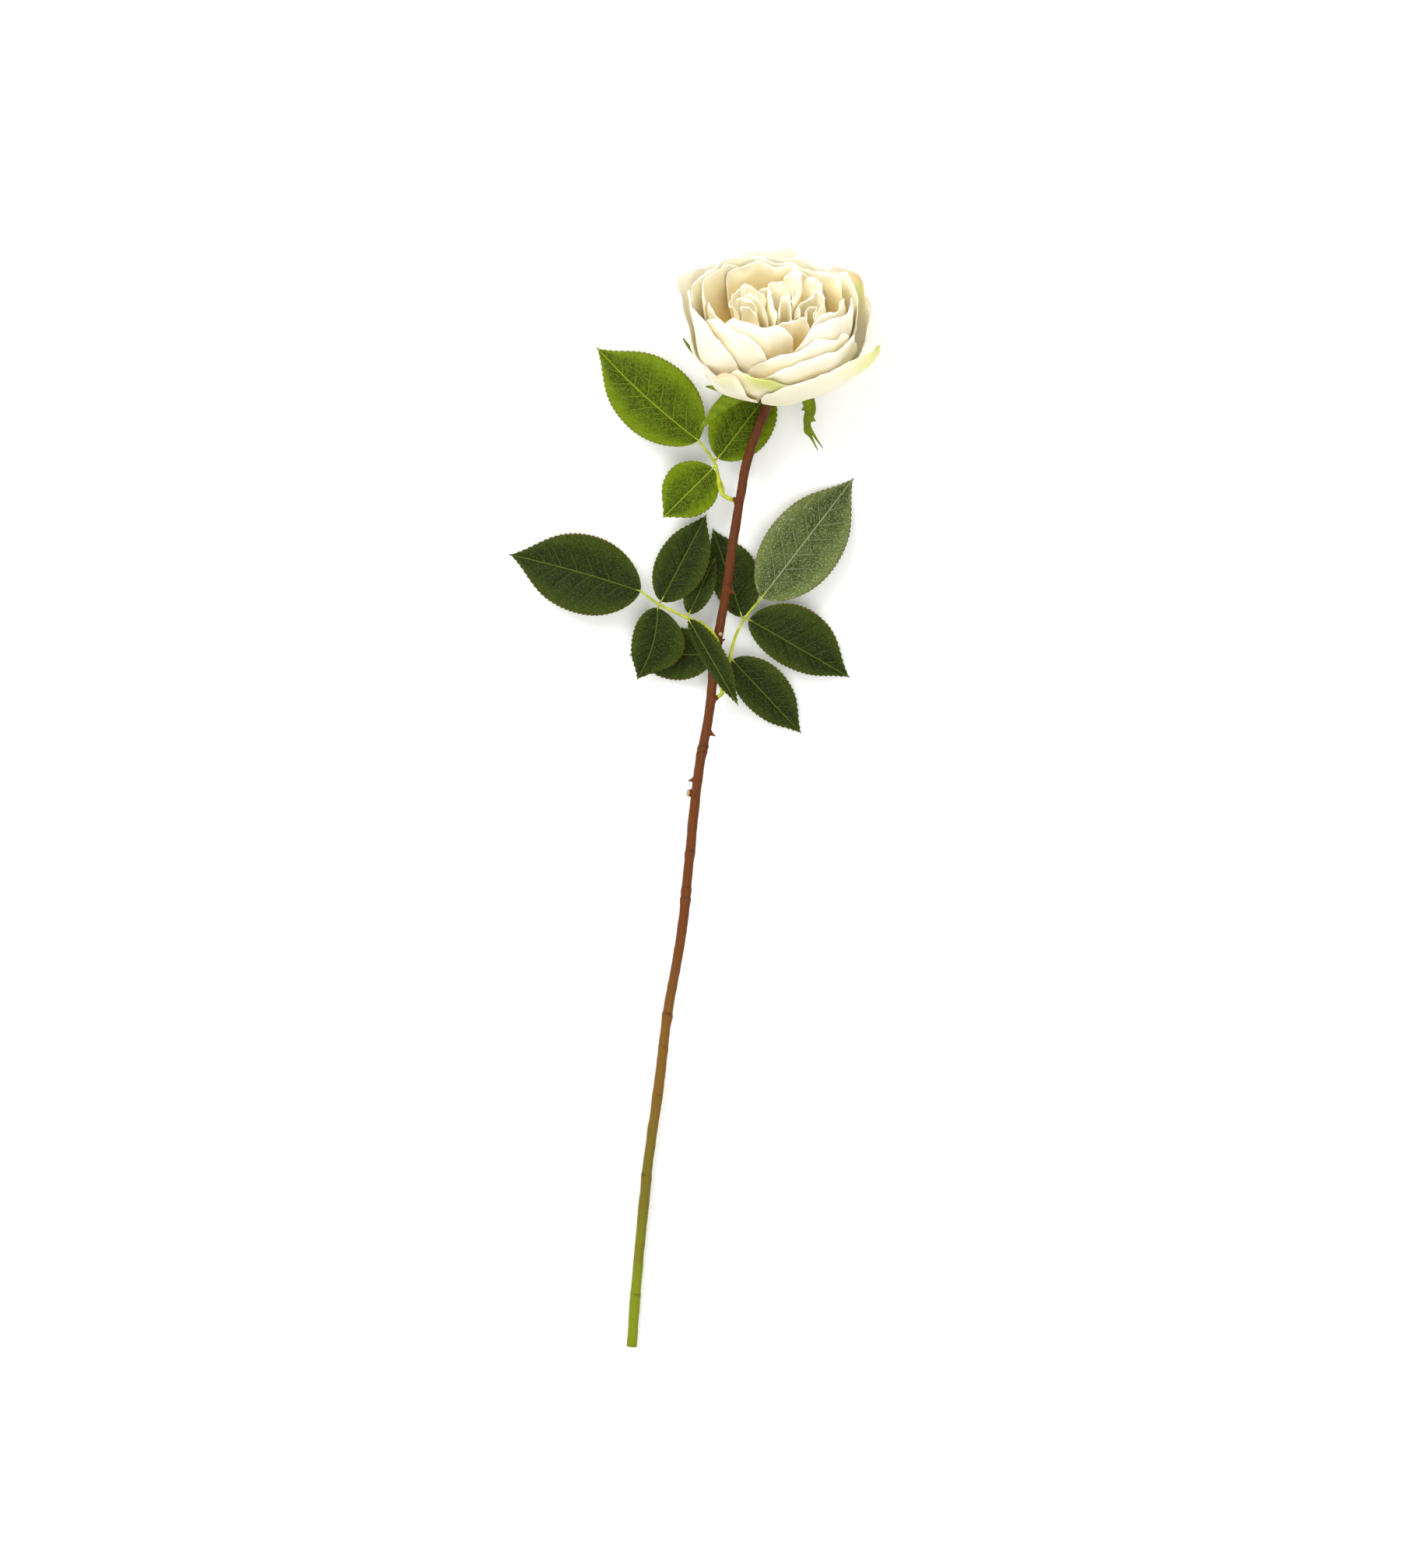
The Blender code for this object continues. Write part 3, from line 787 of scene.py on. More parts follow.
@dataclass
class Bloom:
    """The cupped head of the rose, on an axis that leans back from the surface."""

    base: Vector
    tilt: float = 60.0
    lean: float = 6.0
    rim_radius: float = 50.5
    whorl_step: float = 2.35
    rim_height: float = 60.0
    belly: float = 1.22
    droop: float = 12.5
    root_step: float = 2.1
    sway: float = 1.4
    sway_radius: float = 40.0
    press_start: float = 8.0
    press_depth: float = 4.0
    core_radius: float = 9.0
    core_top_radius: float = 11.4
    core_top: float = 16.6
    hip_depth: float = 12.0
    nest_floor: float = 16.4
    nest_top: float = 57.0
    nest_root_scale: float = 0.42
    petal_wall: float = 0.28
    broad_fold: float = 19.0
    soft_fold: float = 13.0
    cup_grid: tuple[int, int] = (60, 48)
    nest_grid: tuple[int, int] = (64, 36)

    def __post_init__(self) -> None:
        """Work out the turn that stands the bloom on its stem."""
        turn = Euler((math.radians(-self.tilt), 0.0, math.radians(-self.lean)))
        self.turn = turn.to_matrix()

    def place(self, point: Vector) -> Vector:
        """Turn a bloom point into the rose's frame, pressed where it touches.

        Args:
            point: The point in the bloom's frame, in mm.

        Returns:
            The point in the rose's frame, in mm, a petal's wall or more above the surface.
        """
        x, y, z = point
        share = self.sway * ease(math.hypot(x, y) / self.sway_radius)
        shift = Vector((
            share * math.sin(z * 0.075 + y * 0.05),
            share * math.sin(x * 0.07 + z * 0.06 + 1.0),
            share * math.sin(x * 0.08 + 0.5) * math.cos(y * 0.07) * min(1.0, z / 30.0),
        ))
        placed = self.base + self.turn @ (point + shift)
        if placed.z < self.press_start:
            slope = self.press_start / (self.press_start + self.press_depth)
            placed.z = self.press_start - (self.press_start - placed.z) * slope
        placed.z = max(placed.z, self.petal_wall)
        return placed

    def wall(self, whorl: float, share: float) -> tuple[float, float]:
        """Return radius and height along the curved wall of a whorl.

        Args:
            whorl: The whorl's number, from 0 outside.
            share: From 0 at the core to 1 at the full rim.

        Returns:
            The radius and the height above the bloom's base, in mm.
        """
        rim = self.rim_radius - self.whorl_step * whorl
        root = self.root_step * whorl
        core = min(max(root / self.core_top, 0.0), 1.0)
        start = self.core_radius + (self.core_top_radius - self.core_radius) * core
        rest = 1.0 - share
        weights = (rest ** 3, 3 * rest * rest * share, 3 * rest * share * share, share ** 3)
        radii = (start, rim * 0.8, rim * self.belly, rim)
        heights = (root, root * 1.6 - self.droop, self.rim_height * 0.52, self.rim_height)
        radius = sum(weight * value for weight, value in zip(weights, radii))
        height = sum(weight * value for weight, value in zip(weights, heights))
        return radius, height

    def ruffled(self, point: Vector, rim: float, fine: float) -> Vector:
        """Return a petal point moved by soft folds, more of them near the rim.

        Args:
            point: The point in the bloom's frame.
            rim: From 0 low on the petal to 1 at its rim.
            fine: The size of the small crinkles, in mm.

        Returns:
            The moved point.
        """
        radial = Vector((point.x, point.y, 0.0))
        far = ease(radial.length / 25.0)
        out = radial.normalized() if radial.length > 0.01 else Vector((1.0, 0.0, 0.0))
        broad = 2.8 * wander(point, self.broad_fold, 3.1) * far
        small = (3.8 * wander(point, self.soft_fold, 8.4) + fine * wander(point, 4.5, 5.2)) * rim
        lift = (4.4 * wander(point, self.soft_fold, 12.9) + fine * wander(point, 4.0, 6.6)) * rim
        return point + out * (broad + small) + Vector((0.0, 0.0, lift))

    def cup_shape(self, petal: CupPetal) -> Shape:
        """Work out the shape of one petal of the cup.

        Args:
            petal: The petal.

        Returns:
            The petal's shape.
        """
        def shape(across: float, along: float) -> Vector:
            """Return a point of the petal.

            Args:
                across: From -1 at the left edge to 1 at the right.
                along: From 0 at the root to 1 at the rim.

            Returns:
                The point in mm.
            """
            width = 0.85 + 0.15 * math.sin(min(1.0, along / 0.7) * math.pi / 2)
            if along > 0.7:
                width *= 1.0 - 0.12 * ((along - 0.7) / 0.3) ** 2
            outline = 1.0 - petal.corner * abs(across) ** 4 + petal.rise * across
            outline += petal.tip * bell(across - petal.tip_at, 0.22) * along ** 3
            share = along * petal.reach * outline
            radius, height = self.wall(petal.whorl, share)
            edge = ease((along - 0.8) / 0.2)
            tuck = petal.right_tuck if across > 0 else petal.left_tuck
            radius += petal.flare * ease((along - 0.4) / 0.6) + petal.roll * edge ** 2
            radius += petal.tip_flare * bell(across - petal.tip_at, 0.4) * ease((along - 0.5) / 0.5)
            radius -= tuck * ease((abs(across) - 0.1) / 0.9) * ease((along - 0.25) / 0.5)
            height -= 0.5 * petal.roll * edge ** 4
            angle = math.radians(petal.direction + petal.half_angle * width * across)
            point = Vector((radius * math.cos(angle), radius * math.sin(angle), height))
            rim = max(along ** 4, 0.35 * abs(across) ** 6 * along)
            return self.place(self.ruffled(point, rim, 0.6))
        return shape

    def folded_shape(self, petal: FoldedPetal) -> Shape:
        """Work out the shape of one upright folded petal.

        Args:
            petal: The petal.

        Returns:
            The petal's shape.
        """
        line = [Vector((x, y, 0.0)) for x, y in petal.line]

        def shape(across: float, along: float) -> Vector:
            """Return a point of the petal.

            Args:
                across: From -1 at the left edge to 1 at the right.
                along: From 0 at the root to 1 at the rim.

            Returns:
                The point in mm.
            """
            edge = petal.top * (1.0 - petal.drop * abs(across) ** 3)
            height = self.nest_floor + (edge - self.nest_floor) * along
            share = max(0.0, (height - self.nest_floor) / (self.nest_top - self.nest_floor))
            scale = self.nest_root_scale + (1.0 - self.nest_root_scale) * share ** 0.75
            place = (across + 1.0) / 2.0
            flat = line_point(line, place)
            ahead = line_point(line, place + 0.03) - line_point(line, place - 0.03)
            out = Vector((ahead.y, -ahead.x, 0.0)).normalized()
            turn = petal.roll * ease((along - 0.8) / 0.2) ** 2
            point = flat * scale + out * turn + Vector((0.0, 0.0, height - 0.4 * turn))
            return self.place(self.ruffled(point, along ** 3, 1.3))
        return shape

    def add_cup(self, skins: dict[Slot, Sequence[bpy.types.Material]]) -> None:
        """Add the petals of the cup.

        Args:
            skins: The outer skin, darker with painted shade, and the inner skin, warmer with painted glow,
                for each material slot.
        """
        for petal in CUP_PETALS:
            slot = Slot.OUTER_PETAL if petal.name.startswith("guard") else Slot.PETAL
            inner = petal.whorl / 6.0
            fields = {
                # Root tint with painted shade: deepest at the root and on the inner whorls, which lie
                # deeper in the cup
                "warm": lambda a, v, inner=inner: (0.6 + 0.4 * inner) * (1.0 - v) ** 0.8,
                # Painted highlight along the rim and the side edges
                "rim": lambda a, v: max(ease((v - 0.9) / 0.1), ease((abs(a) - 0.94) / 0.06) * v),
                "green": lambda a, v, p=petal: (
                    p.green * bell(a - p.tip_at, 0.5) * ease((v - 0.6) / 0.4)
                ),
                "blush": lambda a, v, p=petal: p.blush * ease((v - 0.93) / 0.07),
            }
            mesh = sheet_mesh(petal.name, self.cup_shape(petal), *self.cup_grid, fields)
            add_piece(petal.name + "_skin", mesh, skins[slot], petal.name, self.petal_wall)

    def add_nest(self, material: bpy.types.Material) -> None:
        """Add the upright folded petals in the middle.

        Args:
            material: The petals' skin.
        """
        for petal in FOLDED_PETALS:
            fields = {
                # Root tint with painted shade, deepest at the foot of the nest
                "warm": lambda a, v: (1.0 - v) ** 1.5,
                # Painted highlight along the top edge
                "rim": lambda a, v: ease((v - 0.85) / 0.15),
                "green": lambda a, v: 0.0,
                "blush": lambda a, v: 0.0,
            }
            mesh = sheet_mesh(petal.name, self.folded_shape(petal), *self.nest_grid, fields)
            add_piece(petal.name + "_skin", mesh, [material], petal.name, self.petal_wall)

    def add_receptacle(self, material: bpy.types.Material) -> None:
        """Add the hip and the core that the petals grow from.

        Args:
            material: The skin of both.
        """
        profile = (
            (self.core_top_radius, self.core_top), (self.core_radius, 0.0),
            (self.core_radius * 0.9, -3.5), (6.6, -7.0), (4.0, -10.5), (3.2, -self.hip_depth - 0.6),
        )
        body = bmesh.new()
        start = [body.verts.new((x * MM, 0.0, z * MM)) for x, z in profile]
        edges = [body.edges.new(pair) for pair in zip(start, start[1:])]
        bmesh.ops.subdivide_edges(body, edges=edges, cuts=3, smooth=0.6)
        bmesh.ops.spin(
            body, geom=body.verts[:] + body.edges[:], cent=(0, 0, 0), axis=(0, 0, 1),
            angle=2 * math.pi, steps=40, use_merge=True,
        )
        rims = [edge for edge in body.edges if edge.is_boundary]
        bmesh.ops.holes_fill(body, edges=rims, sides=0)
        for vertex in body.verts:
            vertex.co = (self.base + self.turn @ (vertex.co / MM)) * MM
        mesh = finish_solid("receptacle", body)
        add_piece("receptacle_skin", mesh, [material], "receptacle")


# -------------------------------------------------------------------- the leaves


@dataclass(frozen=True)
class Leaflet:
    """One toothed leaflet, from its base to its tip."""

    name: str
    base: tuple[float, float, float]
    tip: tuple[float, float, float]
    left: float
    right: float
    fold: float
    arch: float
    bend: float
    roll: float = 0.0
    wave: float = 0.8
    vein_pairs: int = 8
    tooth: float = 0.9
    tooth_gap: float = 2.6
    wall: float = 0.3

    def length(self) -> float:
        """Return the distance from base to tip in mm."""
        return (Vector(self.tip) - Vector(self.base)).length

    def outline(self, along: float) -> float:
        """Return how wide the leaflet is at a share of its length.

        Args:
            along: From 0 at the base to 1 at the tip.

        Returns:
            The share of the full width, which is never quite nothing.
        """
        along = min(max(along, 0.0), 1.0)
        pointed = 0.72 + 0.5 * ease((along - 0.6) / 0.4)
        return max(0.02, math.sin(math.pi * along ** 0.8) ** pointed)

    def rank(self, across: float, along: float) -> float:
        """Return where a point lies among the side veins.

        Args:
            across: From -1 at the left edge to 1 at the right.
            along: From 0 at the base to 1 at the tip.

        Returns:
            The point's place in the row of veins, a whole number on a vein.
        """
        lag = 0.24 * abs(across) ** 0.85 * (1.0 - 0.35 * along)
        offset = 0.25 if across > 0 else 0.0
        return (along - lag) * self.vein_pairs + offset + 8.0

    def shape(self) -> Shape:
        """Work out the leaflet's shape.

        Returns:
            The shape.
        """
        start, end = Vector(self.base), Vector(self.tip)
        ahead = Vector((end.x - start.x, end.y - start.y, 0.0)).normalized()
        side = Vector((ahead.y, -ahead.x, 0.0))
        teeth = round(self.length() / self.tooth_gap)
        seed = start.x * 0.13 + start.y * 0.07

        def shape(across: float, along: float) -> Vector:
            """Return a point of the leaflet.

            Args:
                across: From -1 at the left edge to 1 at the right.
                along: From 0 at the base to 1 at the tip.

            Returns:
                The point in mm.
            """
            full = (self.right if across > 0 else self.left) * self.outline(along)
            width = full * across
            part = (along * teeth + (0.5 if across > 0 else 0.0)) % 1.0
            saw = part ** 1.4 * (1.0 - ease((part - 0.8) / 0.2)) * ease((0.985 - along) / 0.05)
            margin = ease((abs(across) - 0.88) / 0.12)
            width += math.copysign(self.tooth * saw * margin, across)
            swell = math.sin(math.pi * along)
            between = abs(math.sin(math.pi * self.rank(across, along)))
            pucker = 0.75 * between * min(1.0, 5.0 * abs(across)) * (1.0 - abs(across) ** 4) * swell
            crease = -0.5 * bell(width, 1.2) * swell
            ripple = math.sin(along * 11.0 + seed * 5.0) * abs(across) ** 2
            ripple += 0.6 * math.sin(along * 23.0 + seed * 9.0 + across) * abs(across) ** 3
            height = self.fold * abs(width) + self.arch * swell + self.roll * width
            height += pucker + crease + self.wave * ripple * swell
            point = start.lerp(end, along) + side * (width + self.bend * swell)
            point += ahead * (0.35 * self.tooth * saw * margin)
            point += Vector((0.0, 0.0, height))
            point.z += 0.8 * wander(point, 20.0, seed) * swell
            point.z = max(point.z, self.wall)
            return point
        return shape

    def add(self, finish: LeafFinish, materials: Sequence[bpy.types.Material]) -> None:
        """Add the leaflet.

        Args:
            finish: The finish of its upper side; not used.
            materials: The skins of its upper side and its underside.
        """
        rows = round(self.length() / self.tooth_gap * 6)
        fields = {
            "rank": self.rank,
            "span": lambda a, v: abs(a) * self.outline(v) * (self.right if a > 0 else self.left),
            "edge": lambda a, v: abs(a),
        }
        mesh = sheet_mesh(self.name, self.shape(), 30, rows, fields)
        add_piece(self.name + "_blade", mesh, materials, self.name, self.wall)


@dataclass(frozen=True)
class CompoundLeaf:
    """A leaf stalk with its leaflets and the pair of stipules at its root."""

    name: str
    joint: tuple[float, float, float]
    line: tuple[tuple[float, float, float], ...]
    leaflets: tuple[Leaflet, ...]
    stipule: float = 11.0
    radius: float = 0.9

    def nearest(self, point: Vector) -> Vector:
        """Find where the stalk passes closest to a point.

        Args:
            point: The point in mm.

        Returns:
            The closest point of the stalk's line.
        """
        shares = [step / 80 for step in range(81)]
        places = [line_point(self.line, share) for share in shares]
        return min(places, key=lambda place: (place - point).length)

    def add_stalk(self, finish: StalkFinish, material: bpy.types.Material) -> None:
        """Add the stalk, its stipules and the short stalks of its leaflets.

        Args:
            finish: The stalk's finish; not used.
            material: Its skin.
        """
        body = bmesh.new()
        grown = [self.joint, *self.line]
        Tube(grown, lambda share, angle: self.radius * (1.35 - 0.7 * share), 12, 70).add_to(body)
        for leaflet in self.leaflets:
            base, tip = Vector(leaflet.base), Vector(leaflet.tip)
            inside = base.lerp(tip, 0.06)
            root = self.nearest(base)
            middle = (root + base) / 2 + Vector((0.0, 0.0, -0.2))
            short = (root, middle, base, inside)
            Tube(short, lambda share, angle: 0.75 - 0.4 * share, 10, 12).add_to(body)
        length = sum(
            (Vector(after) - Vector(before)).length for before, after in zip(self.line, self.line[1:])
        )
        reach = self.stipule / length
        wing = [line_point(self.line, reach * step / 5) for step in range(6)]
        Tube(wing, lambda share, angle: 1.7 * math.sin(math.pi * (0.1 + 0.85 * share)) ** 0.6,
             14, 24, 0.22).add_to(body)
        mesh = finish_solid(self.name, body)
        add_piece(self.name + "_stalk", mesh, [material], self.name)


LEAVES = (
    CompoundLeaf(
        "rachis_1",
        (22.8, 167.8, 18.8),
        (
            (15.4, 171.5, 18.6), (13.5, 178.5, 17.8), (11.0, 189.0, 17.0), (6.0, 196.5, 16.2),
            (3.2, 200.4, 15.6),
        ),
        (
            Leaflet("leaflet_1a", (1.6, 202.2, 15.3), (-55.9, 255.4, 0.3), 19.0, 24.0, 0.10, 4.0, -2.0),
            Leaflet("leaflet_1b", (12.6, 192.2, 14.6), (46.0, 235.5, 9.0), 18.0, 16.0, 0.08, -1.0, 0.0),
            Leaflet("leaflet_1c", (9.8, 186.6, 14.6), (-18.5, 158.6, 13.8), 14.5, 16.0, 0.02, 0.8, 0.0),
        ),
    ),
    CompoundLeaf(
        "rachis_2",
        (12.6, 88.0, 17.6),
        (
            (11.0, 91.5, 22.3), (4.0, 98.5, 20.0), (-4.8, 102.3, 16.5), (-20.2, 109.8, 13.5),
            (-29.4, 116.2, 12.2),
        ),
        (
            Leaflet("leaflet_2a", (-31.0, 117.4, 12.0), (-105.2, 138.4, 0.3), 22.5, 21.5, 0.10, 3.0, 1.0),
            Leaflet("leaflet_2b", (-21.2, 107.9, 12.4), (-33.0, 67.5, 7.0), 17.5, 12.0, 0.08, 2.0, -3.0),
            Leaflet("leaflet_2c", (-19.4, 111.6, 12.0), (6.2, 160.8, 8.6), 13.5, 14.5, 0.10, 1.0, 0.0),
            Leaflet("leaflet_2d", (-3.6, 104.6, 14.0), (11.4, 137.1, 6.8), 8.0, 7.0, 0.10, -1.0, 0.0),
            Leaflet("leaflet_2e", (-3.6, 101.0, 19.0), (24.2, 52.6, 22.5), 8.0, 5.0, -0.20, 3.0, 0.0, -0.9),
        ),
    ),
    CompoundLeaf(
        "rachis_3",
        (9.8, 56.0, 14.8),
        (
            (15.2, 60.2, 14.6), (17.0, 70.0, 14.2), (19.3, 80.0, 13.9), (23.0, 93.0, 13.7),
            (28.5, 103.0, 13.6), (36.2, 112.4, 13.4),
        ),
        (
            Leaflet("leaflet_3a", (37.4, 113.8, 13.3), (89.3, 181.5, 0.3), 20.0, 22.0, 0.10, 2.0, 0.0),
            Leaflet("leaflet_3b", (26.2, 103.0, 11.0), (9.7, 152.9, 2.0), 10.0, 17.0, 0.02, -2.0, 0.0),
            Leaflet("leaflet_3c", (30.2, 101.4, 13.0), (87.1, 68.9, 0.4), 21.5, 12.5, 0.08, 3.0, 0.0),
            Leaflet("leaflet_3d", (20.8, 78.6, 13.0), (59.8, 37.2, 0.4), 15.0, 11.5, 0.08, 2.0, 0.0),
            Leaflet("leaflet_3e", (11.0, 81.6, 10.6), (-37.4, 81.6, 1.2), 14.0, 15.0, 0.02, -2.0, 0.0),
        ),
    ),
)


# --------------------------------------------------------------------- the stem


@dataclass(frozen=True)
class Spur:
    """A thorn, a leaf joint or a pruned shoot on the stem."""

    height: float
    pointing: tuple[float, float, float]
    length: float
    root: float
    end: float
    hook: float = 0.0


@dataclass(frozen=True)
class Stem:
    """The rose's stem, from its cut end to the hip.

    The rings are swellings, each by its height along Y and its share of the radius.
    """

    route: tuple[tuple[float, float, float], ...] = (
        (-36.0, -309.5, 2.8), (-33.0, -269.0, 3.6), (-27.0, -208.0, 5.5), (-21.0, -164.0, 7.0),
        (-15.6, -120.0, 8.5), (-8.0, -76.0, 10.0), (-3.3, -32.0, 11.4), (1.3, 12.0, 13.0),
        (7.5, 47.5, 14.5), (11.4, 82.7, 15.6), (17.4, 118.0, 17.0), (22.4, 153.0, 18.2),
        (28.5, 188.0, 19.6), (34.5, 207.0, 21.4),
    )
    radius: float = 2.75
    columns: int = 24
    rows: int = 460
    most_skin_corners: int = 8
    rings: tuple[tuple[float, float], ...] = (
        (121.2, 0.10), (71.9, 0.12), (29.5, 0.20), (26.0, 0.14), (-30.1, 0.12), (-51.0, 0.16),
        (-56.5, 0.16), (-121.7, 0.14), (-140.1, 0.10), (-167.0, 0.08), (-212.7, 0.10), (-279.2, 0.09),
    )
    spurs: tuple[Spur, ...] = (
        Spur(118.0, (0.8, -0.2, 0.5), 6.2, 2.0, 0.15, 0.4),
        Spur(88.0, (1.0, 0.6, 0.3), 5.5, 1.8, 0.15, 0.3),
        Spur(38.0, (1.0, -0.3, 0.2), 5.8, 1.9, 0.15, 0.4),
        Spur(11.0, (-1.0, 0.0, 0.3), 5.6, 1.8, 0.15, 0.3),
        Spur(167.0, (-0.8, 0.5, 0.1), 4.4, 1.8, 1.2),
        Spur(94.5, (0.2, -0.4, 1.0), 4.6, 1.7, 1.2),
        Spur(55.5, (1.0, 0.5, 0.0), 4.6, 1.9, 1.3),
        Spur(3.0, (-1.0, 0.1, 0.5), 5.0, 2.3, 1.9),
    )

    def centre_at(self, line: Line, height: float) -> Vector:
        """Return the stem's middle at a height along Y."""
        places = [line_point(line, step / 800) for step in range(801)]
        return min(places, key=lambda place: abs(place.y - height))

    def add(self, bloom: Bloom, bark: BarkFinish, materials: Sequence[bpy.types.Material]) -> None:
        """Add the stem with its thorns and joints.

        Args:
            bloom: The bloom that the stem runs into.
            bark: The stem's finish; not used.
            materials: The bark and the cut wood.
        """
        axis = bloom.turn.col[2]
        neck = [bloom.base - axis * (bloom.hip_depth + below) for below in (6.0, 0.0)]
        line = [Vector(point) for point in self.route] + neck
        body = bmesh.new()

        def collar(share: float, angle: float, below: float, above: float) -> float:
            """Return how much the rings swell the stem at a point.

            Args:
                share: From 0 at the cut end to 1 at the hip.
                angle: The angle round the stem.
                below: How fast a ring fades towards the cut end, in mm.
                above: How fast it fades towards the bloom, in mm.

            Returns:
                The swelling as a share of the radius.
            """
            height = line_point(line, share).y + 0.9 * math.sin(angle + 9.0 * share)
            return sum(
                swell * bell(height - at, above if height > at else below) for at, swell in self.rings
            )

        def radius(share: float, angle: float) -> float:
            """Return the stem's radius at a point, with its rings and small bumps.

            Args:
                share: From 0 at the cut end to 1 at the hip.
                angle: The angle round the stem.

            Returns:
                The radius in mm.
            """
            taper = 1.04 - 0.10 * share + 0.16 * ease((share - 0.95) / 0.05)
            place = line_point(line, share)
            round_about = Vector((4.0 * math.cos(angle), place.y, 4.0 * math.sin(angle)))
            bump = 0.10 * wander(round_about, 9.0, 5.5) + 0.05 * wander(round_about, 3.0, 1.5)
            return self.radius * (taper + collar(share, angle, 3.0, 0.6) + bump)

        # Painted shade: where the crease shade lies, mostly just above each node swelling
        fields = {"ring": lambda share, angle: min(1.0, 8.0 * collar(share, angle, 0.2, 1.3))}
        Tube(line, radius, self.columns, self.rows).add_to(body, fields)
        for spur in self.spurs:
            centre = self.centre_at(line, spur.height)
            out = Vector(spur.pointing).normalized()
            steps = [step / 6 for step in range(7)]
            down = Vector((0.0, -spur.hook, 0.0))
            horn = [centre + out * spur.length * step + down * step ** 2 * 2.0 for step in steps]
            Tube(
                horn,
                lambda share, angle, s=spur: s.end + (s.root - s.end) * (1.0 - share) ** 0.8
                + 0.5 * s.root * bell(share - 0.38, 0.16),
                14, 16,
            ).add_to(body)
        mesh = finish_solid("stem", body)
        piece = add_piece("stem_bark", mesh, materials, "stem")
        self.mark_cuts(piece.data)

    def mark_cuts(self, mesh: bpy.types.Mesh) -> None:
        """Give the flat ends of the stem and of its joints and shoot the cut wood.

        Args:
            mesh: The stem's mesh.
        """
        for face in mesh.polygons:
            if len(face.vertices) > self.most_skin_corners:
                face.material_index = 1


# -------------------------------------------------------------------- the sepals


@dataclass(frozen=True)
class LooseSepal:
    """A sepal that hangs away from the cup."""

    name: str
    line: tuple[tuple[float, float, float], ...]
    half_width: float
    lobes: tuple[tuple[float, float], ...] = ()
    fork: float = 0.0

    def add(self, finish: StalkFinish, material: bpy.types.Material) -> None:
        """Add the sepal.

        Args:
            finish: The sepal's finish; not used.
            material: Its skin.
        """
        def shape(across: float, along: float) -> Vector:
            """Return a point of the sepal.

            Args:
                across: From -1 at the left edge to 1 at the right.
                along: From 0 at the root to 1 at the tip.

            Returns:
                The point in mm.
            """
            notch = self.fork * (1.0 - abs(across)) * ease((along - 0.6) / 0.4)
            here = line_point(self.line, along - notch)
            ahead = line_point(self.line, along + 0.02) - line_point(self.line, along - 0.02)
            side = ahead.cross(Vector((0.0, 0.0, 1.0)))
            if side.length < 0.3 * ahead.length:
                side = Vector((1.0, 0.0, 0.0))
            side.normalize()
            body = (1.0 - along) ** 0.6 * (0.55 + 0.45 * math.sin(math.pi * along))
            width = self.half_width * max(0.05 + 1.8 * self.fork, body)
            width += sum(
                max(0.0, math.copysign(1.0, across * reach)) * abs(reach) * bell(along - at, 0.035)
                for at, reach in self.lobes
            )
            cup = side.cross(ahead).normalized() * (0.22 * width * across * across)
            return here + side * width * across - cup
        mesh = sheet_mesh(self.name, shape, 14, 70, {})
        add_piece(self.name + "_leaf", mesh, [material], self.name, SEPAL_WALL)


@dataclass(frozen=True)
class ClingingSepal:
    """A sepal that lies against the outside of the cup."""

    name: str
    whorl: float
    direction: float
    half_angle: float
    reach: float
    tip_flare: float

    def add(self, bloom: Bloom, finish: StalkFinish, material: bpy.types.Material) -> None:
        """Add the sepal.

        Args:
            bloom: The bloom that it lies against.
            finish: The sepal's finish; not used.
            material: Its skin.
        """
        def shape(across: float, along: float) -> Vector:
            """Return a point of the sepal.

            Args:
                across: From -1 at the left edge to 1 at the right.
                along: From 0 at the root to 1 at the tip.

            Returns:
                The point in mm.
            """
            radius, height = bloom.wall(self.whorl, along * self.reach)
            width = self.half_angle * max(0.03, 1.0 - along) ** 0.7
            angle = math.radians(self.direction + width * across)
            radius += 0.8 + self.tip_flare * ease((along - 0.6) / 0.4)
            point = Vector((radius * math.cos(angle), radius * math.sin(angle), height - 1.2))
            return bloom.place(point)
        mesh = sheet_mesh(self.name, shape, 12, 50, {})
        add_piece(self.name + "_leaf", mesh, [material], self.name, SEPAL_WALL)


SEPALS = (
    LooseSepal(
        "sepal_1",
        ((37.0, 229.2, 29.6), (24.0, 227.4, 31.6), (12.0, 219.0, 27.0), (2.2, 207.5, 23.0)), 6.5,
    ),
    LooseSepal(
        "sepal_2",
        (
            (44.6, 229.8, 26.8), (60.0, 228.2, 25.6), (64.5, 219.5, 25.0), (63.0, 210.5, 23.8),
            (70.5, 196.5, 21.0),
        ),
        4.8, ((0.5, 1.8), (0.66, -2.4), (0.8, 1.6)), 0.16,
    ),
    LooseSepal(
        "sepal_4",
        ((38.4, 230.4, 24.4), (25.0, 230.0, 19.6), (15.0, 231.0, 20.5), (5.5, 232.4, 21.0)), 4.2,
    ),
    ClingingSepal("sepal_3", 0.2, 166, 9, 0.52, 6.0),
    ClingingSepal("sepal_5", -1.0, 48, 9, 0.62, 1.0),
)


# ------------------------------------------------------------------- the studio


